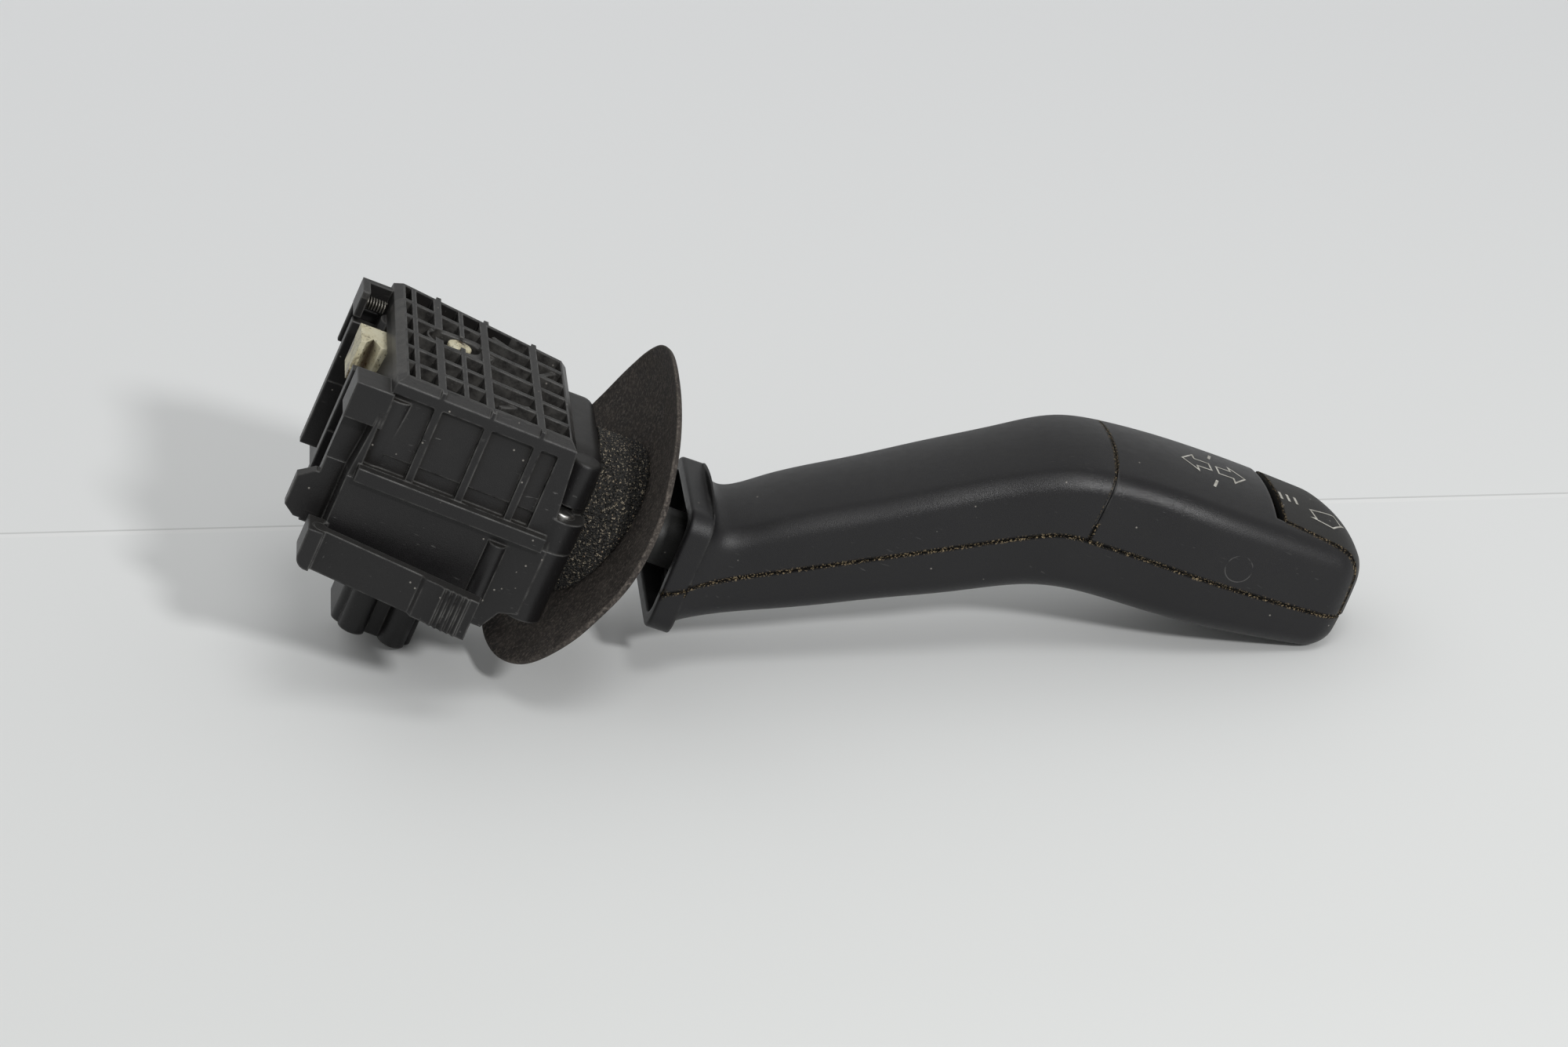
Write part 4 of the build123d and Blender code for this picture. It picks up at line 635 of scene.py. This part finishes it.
def makeBoss(look):
    # a turned stud with a rounded top, standing in the corner of the cover
    x, y, z = look["foot"]
    build = bmesh.new()
    outline = [(0.0, z), (look["radius"], z), (look["radius"], look["top"]), (0.0, look["top"])]
    verts = [build.verts.new((radius, 0.0, height)) for radius, height in outline]
    for first, second in zip(verts, verts[1:]):
        build.edges.new((first, second))
    bmesh.ops.bevel(build, geom=[verts[2]], offset=look["round"], segments=4, profile=0.5, affect="VERTICES",
                    material=-1)
    bmesh.ops.spin(build, geom=build.edges[:] + build.verts[:], cent=(0, 0, 0), axis=(0, 0, 1),
                   angle=2 * math.pi, steps=look["steps"], use_merge=True)
    bmesh.ops.remove_doubles(build, verts=build.verts, dist=0.001)
    bmesh.ops.recalc_face_normals(build, faces=build.faces)
    smoothByAngle(build, 40.0)
    bmesh.ops.transform(build, matrix=toRow @ Matrix.Translation((x, y, 0.0)), verts=build.verts)
    return keepPiece("corner_boss", build, casePlastic, bodyOf["case_cover"])


makeWeb(webLook)
makeBoss(bossLook)
print("moulded details added")

# symbols on the outer shell and the button, as thin printed outlines
printLook = {"stroke": 0.38, "lift": 0.04, "cut": 0.9, "cuts": 6, "above": 90.0}
arrowLook = {"length": 6.2, "head": 3.2, "halfHead": 4.0, "halfShaft": 1.75}
fatArrowLook = {"length": 5.6, "head": 2.6, "halfHead": 4.2, "halfShaft": 3.0}
barLook = {"length": 3.0, "thick": 0.55}


def surfaceOf(names):
    build = bmesh.new()
    for name in names:
        build.from_mesh(frame["nodes"][name].data)
    bmesh.ops.transform(build, matrix=fromRow, verts=build.verts)
    tree = BVHTree.FromBMesh(build)
    build.free()
    return tree


def printOutline(name, shapes, surface, body):
    look = printLook
    # shapes are flat outlines in plan; each is laid on the surface below it
    build = bmesh.new()
    for points, hollow in shapes:
        corners = [build.verts.new((x, y, 0.0)) for x, y in points]
        face = build.faces.new(corners)
        if hollow:
            face.normal_update()
            bmesh.ops.inset_region(build, faces=[face], thickness=look["stroke"], use_boundary=True,
                                   use_even_offset=True)
            bmesh.ops.delete(build, geom=[face], context="FACES")
    longEdges = [edge for edge in build.edges if edge.calc_length() > look["cut"]]
    bmesh.ops.subdivide_edges(build, edges=longEdges, cuts=look["cuts"], use_grid_fill=True)
    bmesh.ops.triangulate(build, faces=build.faces)
    down = Vector((0, 0, -1))
    for vert in build.verts:
        hit = surface.ray_cast(Vector((vert.co.x, vert.co.y, look["above"])), down)
        if hit[0] is not None:
            vert.co = hit[0] + hit[1] * look["lift"]
    bmesh.ops.recalc_face_normals(build, faces=build.faces)
    if sum(face.normal.z for face in build.faces) < 0:
        bmesh.ops.reverse_faces(build, faces=build.faces)
    bmesh.ops.transform(build, matrix=toRow, verts=build.verts)
    return keepPiece(name, build, paleInk, body)


def turned(shape, x, y, turn):
    place = Matrix.Translation((x, y, 0.0)) @ Matrix.Rotation(math.radians(turn), 4, "Z")
    return [(place @ Vector((a, b, 0.0))).xy for a, b in shape]


def arrow(look, tipX, tipY, turn):
    # outline of a plain arrow with its tip at the given place, its shaft turned from +X
    head, halfHead, halfShaft, length = look["head"], look["halfHead"], look["halfShaft"], look["length"]
    upper = ((head, halfHead), (head, halfShaft), (length, halfShaft))
    shape = ((0, 0), *upper, *((x, -y) for x, y in upper[::-1]))
    return turned(shape, tipX, tipY, turn)


def bar(look, x, y, turn):
    a, b = look["length"] / 2, look["thick"] / 2
    return turned(((-a, -b), (a, -b), (a, b), (-a, b)), x, y, turn)


# where each mark stands: x, y and its turn
markLook = {"turnArrows": ((116.4, 0.4, 0.0), (129.9, 0.1, 180.0)),
            "turnBars": ((123.7, 6.4, 70.0), (122.3, -6.4, 70.0)), "buttonArrow": (146.9, -7.4, 105.0),
            "buttonBars": ((136.9, -1.2, 90.0), (138.5, -1.2, 90.0), (140.1, -1.2, 90.0))}
shellTop = surfaceOf(["grip_upper_outer_shell"])
buttonTop = surfaceOf(["end_button"])
turnArrows = [(arrow(arrowLook, *spot), True) for spot in markLook["turnArrows"]]
turnBars = [(bar(barLook, *spot), False) for spot in markLook["turnBars"]]
buttonArrow = [(arrow(fatArrowLook, *markLook["buttonArrow"]), True)]
buttonBars = [(bar(barLook, *spot), False) for spot in markLook["buttonBars"]]
printOutline("turn_arrows", turnArrows, shellTop, "lever")
printOutline("turn_bars", turnBars, shellTop, "lever")
printOutline("button_arrow", buttonArrow, buttonTop, "button")
printOutline("button_bars", buttonBars, buttonTop, "button")
print("marks printed")

# the seal: a thin dished skirt with a wavering worn rim, its top leaning back over the case
skirtLook = {"middle": (19.2, -1.5, 0.3), "radius": 31.8, "bulge": 3.2, "tilt": 15.4, "yaw": 6.2,
             "thick": 1.2, "hole": 11.6, "rings": 22, "steps": 160, "rimRound": 0.4, "smooth": 50.0,
             "apex": 96.0, "lean": -7.6, "peak": 0.028, "apexPower": 2.5, "rimPower": 4,
             "waver": 0.3, "waverScale": 0.09, "waverPower": 3}
skirtTurn = (Matrix.Rotation(math.radians(skirtLook["tilt"]), 4, "Y")
             @ Matrix.Rotation(math.radians(skirtLook["yaw"]), 4, "Z"))
skirtPlace = Matrix.Translation(skirtLook["middle"]) @ skirtTurn


def skirtBend(look, y, z):
    # how much of the lean at the apex a place on the skirt takes
    toApex = max(0.0, math.cos(math.atan2(z, y) - math.radians(look["apex"])))
    return toApex ** look["apexPower"] * (math.hypot(y, z) / look["radius"]) ** look["rimPower"]


def dishDepth(look, radius):
    # how far the outer face stands ahead of the rim's plane
    share = radius / look["radius"]
    return look["bulge"] * (1 - share ** 2)


def foldSkirt(look, spot):
    # the upper part leans back over the case and is drawn out to a soft point
    bend = skirtBend(look, spot.y, spot.z)
    outwards = math.hypot(spot.y, spot.z) / look["radius"]
    waver = look["waver"] * noise.noise(spot * look["waverScale"]) * outwards ** look["waverPower"]
    grow = 1 + look["peak"] * bend
    return Vector((spot.x + look["lean"] * bend + waver, spot.y * grow, spot.z * grow))


def makeSkirt(look):
    build = bmesh.new()
    width = look["radius"] - look["hole"]
    radii = [look["hole"] + width * ring / look["rings"] for ring in range(look["rings"] + 1)]
    front = [(dishDepth(look, radius), radius) for radius in radii]
    outline = front + [(x - look["thick"], radius) for x, radius in front[::-1]]
    verts = [build.verts.new((x, 0.0, radius)) for x, radius in outline]
    for place, vert in enumerate(verts):
        build.edges.new((vert, verts[(place + 1) % len(verts)]))
    rim = verts[look["rings"]:look["rings"] + 2]
    bmesh.ops.bevel(build, geom=rim, offset=look["rimRound"], segments=3, profile=0.5, affect="VERTICES",
                    material=-1)
    bmesh.ops.spin(build, geom=build.edges[:] + build.verts[:], cent=(0, 0, 0), axis=(1, 0, 0),
                   angle=2 * math.pi, steps=look["steps"], use_merge=True)
    bmesh.ops.recalc_face_normals(build, faces=build.faces)
    for vert in build.verts:
        vert.co = foldSkirt(look, vert.co)
    smoothByAngle(build, look["smooth"])
    bmesh.ops.transform(build, matrix=toRow @ skirtPlace, verts=build.verts)
    return keepPiece("skirt_skin", build, skirtRubber, bodyOf["seal_skirt"],
                     ("seal_skirt",))


foamLook = {"radius": 15.8, "hole": 11.4, "start": 14.0, "drop": -0.9, "around": 300, "along": 64,
            "grain": 0.34, "fineGrain": 0.45, "fineShare": 0.6, "deep": 0.5, "tuck": 0.5, "tuckFrom": 0.94,
            "furthest": 30.0, "stride": 0.1, "gap": 0.15}


def foamEnd(look, y, z):
    # x at which the foam meets the back of the dish
    toDish = skirtPlace.inverted()
    end = look["start"]
    while end < look["furthest"]:
        local = toDish @ Vector((end, y, z))
        leaned = skirtLook["lean"] * skirtBend(skirtLook, local.y, local.z)
        outer = dishDepth(skirtLook, math.hypot(local.y, local.z)) + leaned
        if local.x > outer - skirtLook["thick"] - look["gap"]:
            break
        end += look["stride"]
    return end


def makeFoamRing(look):
    # a tube from the case's nose to the dish, its skin torn into open cells
    # x counts steps along the tube until each place is set
    build = bmesh.new()
    along = look["along"]
    outline = [(step, look["radius"]) for step in range(along + 1)]
    outline += [(along, look["hole"]), (0, look["hole"])]
    verts = [build.verts.new((step, radius, 0.0)) for step, radius in outline]
    for place, vert in enumerate(verts):
        build.edges.new((vert, verts[(place + 1) % len(verts)]))
    bmesh.ops.spin(build, geom=build.edges[:] + build.verts[:], cent=(0, 0, 0), axis=(1, 0, 0),
                   angle=2 * math.pi, steps=look["around"], use_merge=True)
    ends = {}
    for vert in build.verts:
        turn = round(math.atan2(vert.co.z, vert.co.y) / (2 * math.pi) * look["around"]) % look["around"]
        angle = 2 * math.pi * turn / look["around"]
        outward = Vector((0, math.cos(angle), math.sin(angle)))
        spot = outward * look["radius"] + Vector((0, 0, look["drop"]))
        if turn not in ends:
            ends[turn] = foamEnd(look, spot.y, spot.z)
        share = round(vert.co.x) / along
        onSkin = math.hypot(vert.co.y, vert.co.z) > (look["hole"] + look["radius"]) / 2
        spot.x = look["start"] + (ends[turn] - look["start"]) * share
        if onSkin:
            cells = noise.noise(spot / look["grain"])
            cells += look["fineShare"] * noise.noise(spot / (look["fineGrain"] * look["grain"]))
            tuck = max(0.0, share - look["tuckFrom"]) / (1 - look["tuckFrom"])
            vert.co = spot - outward * (look["deep"] * 0.5 * (1 + cells) + look["tuck"] * tuck)
        else:
            bore = look["hole"] / look["radius"]
            vert.co = (spot.x, spot.y * bore, spot.z * bore)
    bmesh.ops.recalc_face_normals(build, faces=build.faces)
    bmesh.ops.transform(build, matrix=toRow, verts=build.verts)
    piece = keepPiece("foam_cells", build, openFoam, bodyOf["foam_ring"], ("foam_ring",))
    return piece


makeSkirt(skirtLook)
makeFoamRing(foamLook)
print("seal shaped")

# floor, light and camera
floorLook = {"size": 1.6, "near": (0.66, 0.668, 0.66), "far": (0.86, 0.868, 0.875), "reach": (-0.12, 0.5),
             "line": (57.2, -0.0433), "halfLine": 0.35, "lineColor": (0.56, 0.565, 0.56),
             "edgeHighlightColor": (0.74, 0.745, 0.74), "edgeAt": -3.5, "halfEdge": 2.5, "roughness": 0.6}


def makeFloor(look):
    build = bmesh.new()
    bmesh.ops.create_grid(build, x_segments=1, y_segments=1, size=look["size"])
    mesh = bpy.data.meshes.new("floor")
    build.to_mesh(mesh)
    build.free()
    floor = bpy.data.objects.new("floor", mesh)
    scene.collection.objects.link(floor)
    material = bpy.data.materials.new("paleBoard")
    material.use_nodes = True
    tree = material.node_tree
    shader = tree.nodes["Principled BSDF"]
    shader.inputs["Roughness"].default_value = look["roughness"]
    # a joint between two boards runs behind the switch: a thin dark line with a painted highlight along the
    # board's edge before it
    parts = separate(tree, addNode(tree, "ShaderNodeTexCoord").outputs["Object"])
    start, slope = look["line"]
    halfLine = look["halfLine"] * mm
    joint = mathNode(tree, "MULTIPLY_ADD", parts["X"], slope, start * mm)
    past = mathNode(tree, "SUBTRACT", parts["Y"], joint)
    dark = mathNode(tree, "COMPARE", past, 0.0, halfLine)
    # painted highlight along the rounded edge of the nearer board
    pale = mathNode(tree, "COMPARE", past, look["edgeAt"] * halfLine, look["halfEdge"] * halfLine)
    # painted light: the board is drawn lighter further back, from near to far
    board = blendColor(tree, spread(tree, parts["Y"], *look["reach"]), look["near"], look["far"])
    color = blendColor(tree, pale, board, look["edgeHighlightColor"])
    plug(tree, blendColor(tree, dark, color, look["lineColor"]), shader.inputs["Base Color"])
    mesh.materials.append(material)
    return floor


makeFloor(floorLook)
lightLook = {"world": 0.5, "sky": (0.99, 1.0, 1.0), "aim": (0, 0, 0.03),
             "lamps": (("softKey", (0.17, -0.46, 1.0), 0.4, 2.4), ("softFill", (-0.6, 0.7, 0.9), 0.9, 1.2),
                       ("frontLamp", (0.4, -0.98, 0.68), 0.12, 9.0))}
world = bpy.data.worlds.new("studio")
scene.world = world
world.use_nodes = True
sky = world.node_tree.nodes["Background"]
sky.inputs["Color"].default_value = (*lightLook["sky"], 1.0)
sky.inputs["Strength"].default_value = lightLook["world"]
for name, spot, size, power in lightLook["lamps"]:
    lamp = bpy.data.lights.new(name, "AREA")
    lamp.shape = "DISK"
    lamp.size = size
    lamp.energy = power
    holder = bpy.data.objects.new(name, lamp)
    holder.location = spot
    holder.rotation_euler = (Vector(lightLook["aim"]) - Vector(spot)).to_track_quat("-Z", "Y").to_euler()
    scene.collection.objects.link(holder)

cameraLook = {"azimuth": -6.0, "elevation": 25.0, "lens": 90.0, "sensor": 36.0, "distance": 0.725,
              "clip": 0.01, "target": (-7.5, 0.0, 29.4),
              "sealPoint": (18.0, 0.0, 0.0), "sealAt": (-43.7, 0.0, 34.2)}
sealPlace = toRow @ Vector(cameraLook["sealPoint"])
target = Vector(cameraLook["target"]) * mm + sealPlace - Vector(cameraLook["sealAt"]) * mm
azimuth, elevation = math.radians(cameraLook["azimuth"]), math.radians(cameraLook["elevation"])
level = math.cos(elevation)
outward = Vector((math.sin(azimuth) * level, -math.cos(azimuth) * level, math.sin(elevation)))
eye = bpy.data.cameras.new("eye")
eye.lens = cameraLook["lens"]
eye.sensor_width = cameraLook["sensor"]
eye.clip_start = cameraLook["clip"]
camera = bpy.data.objects.new("eye", eye)
camera.location = target + outward * cameraLook["distance"]
camera.rotation_euler = (-outward).to_track_quat("-Z", "Y").to_euler()
scene.collection.objects.link(camera)
scene.camera = camera
scene.view_settings.view_transform = "Standard"
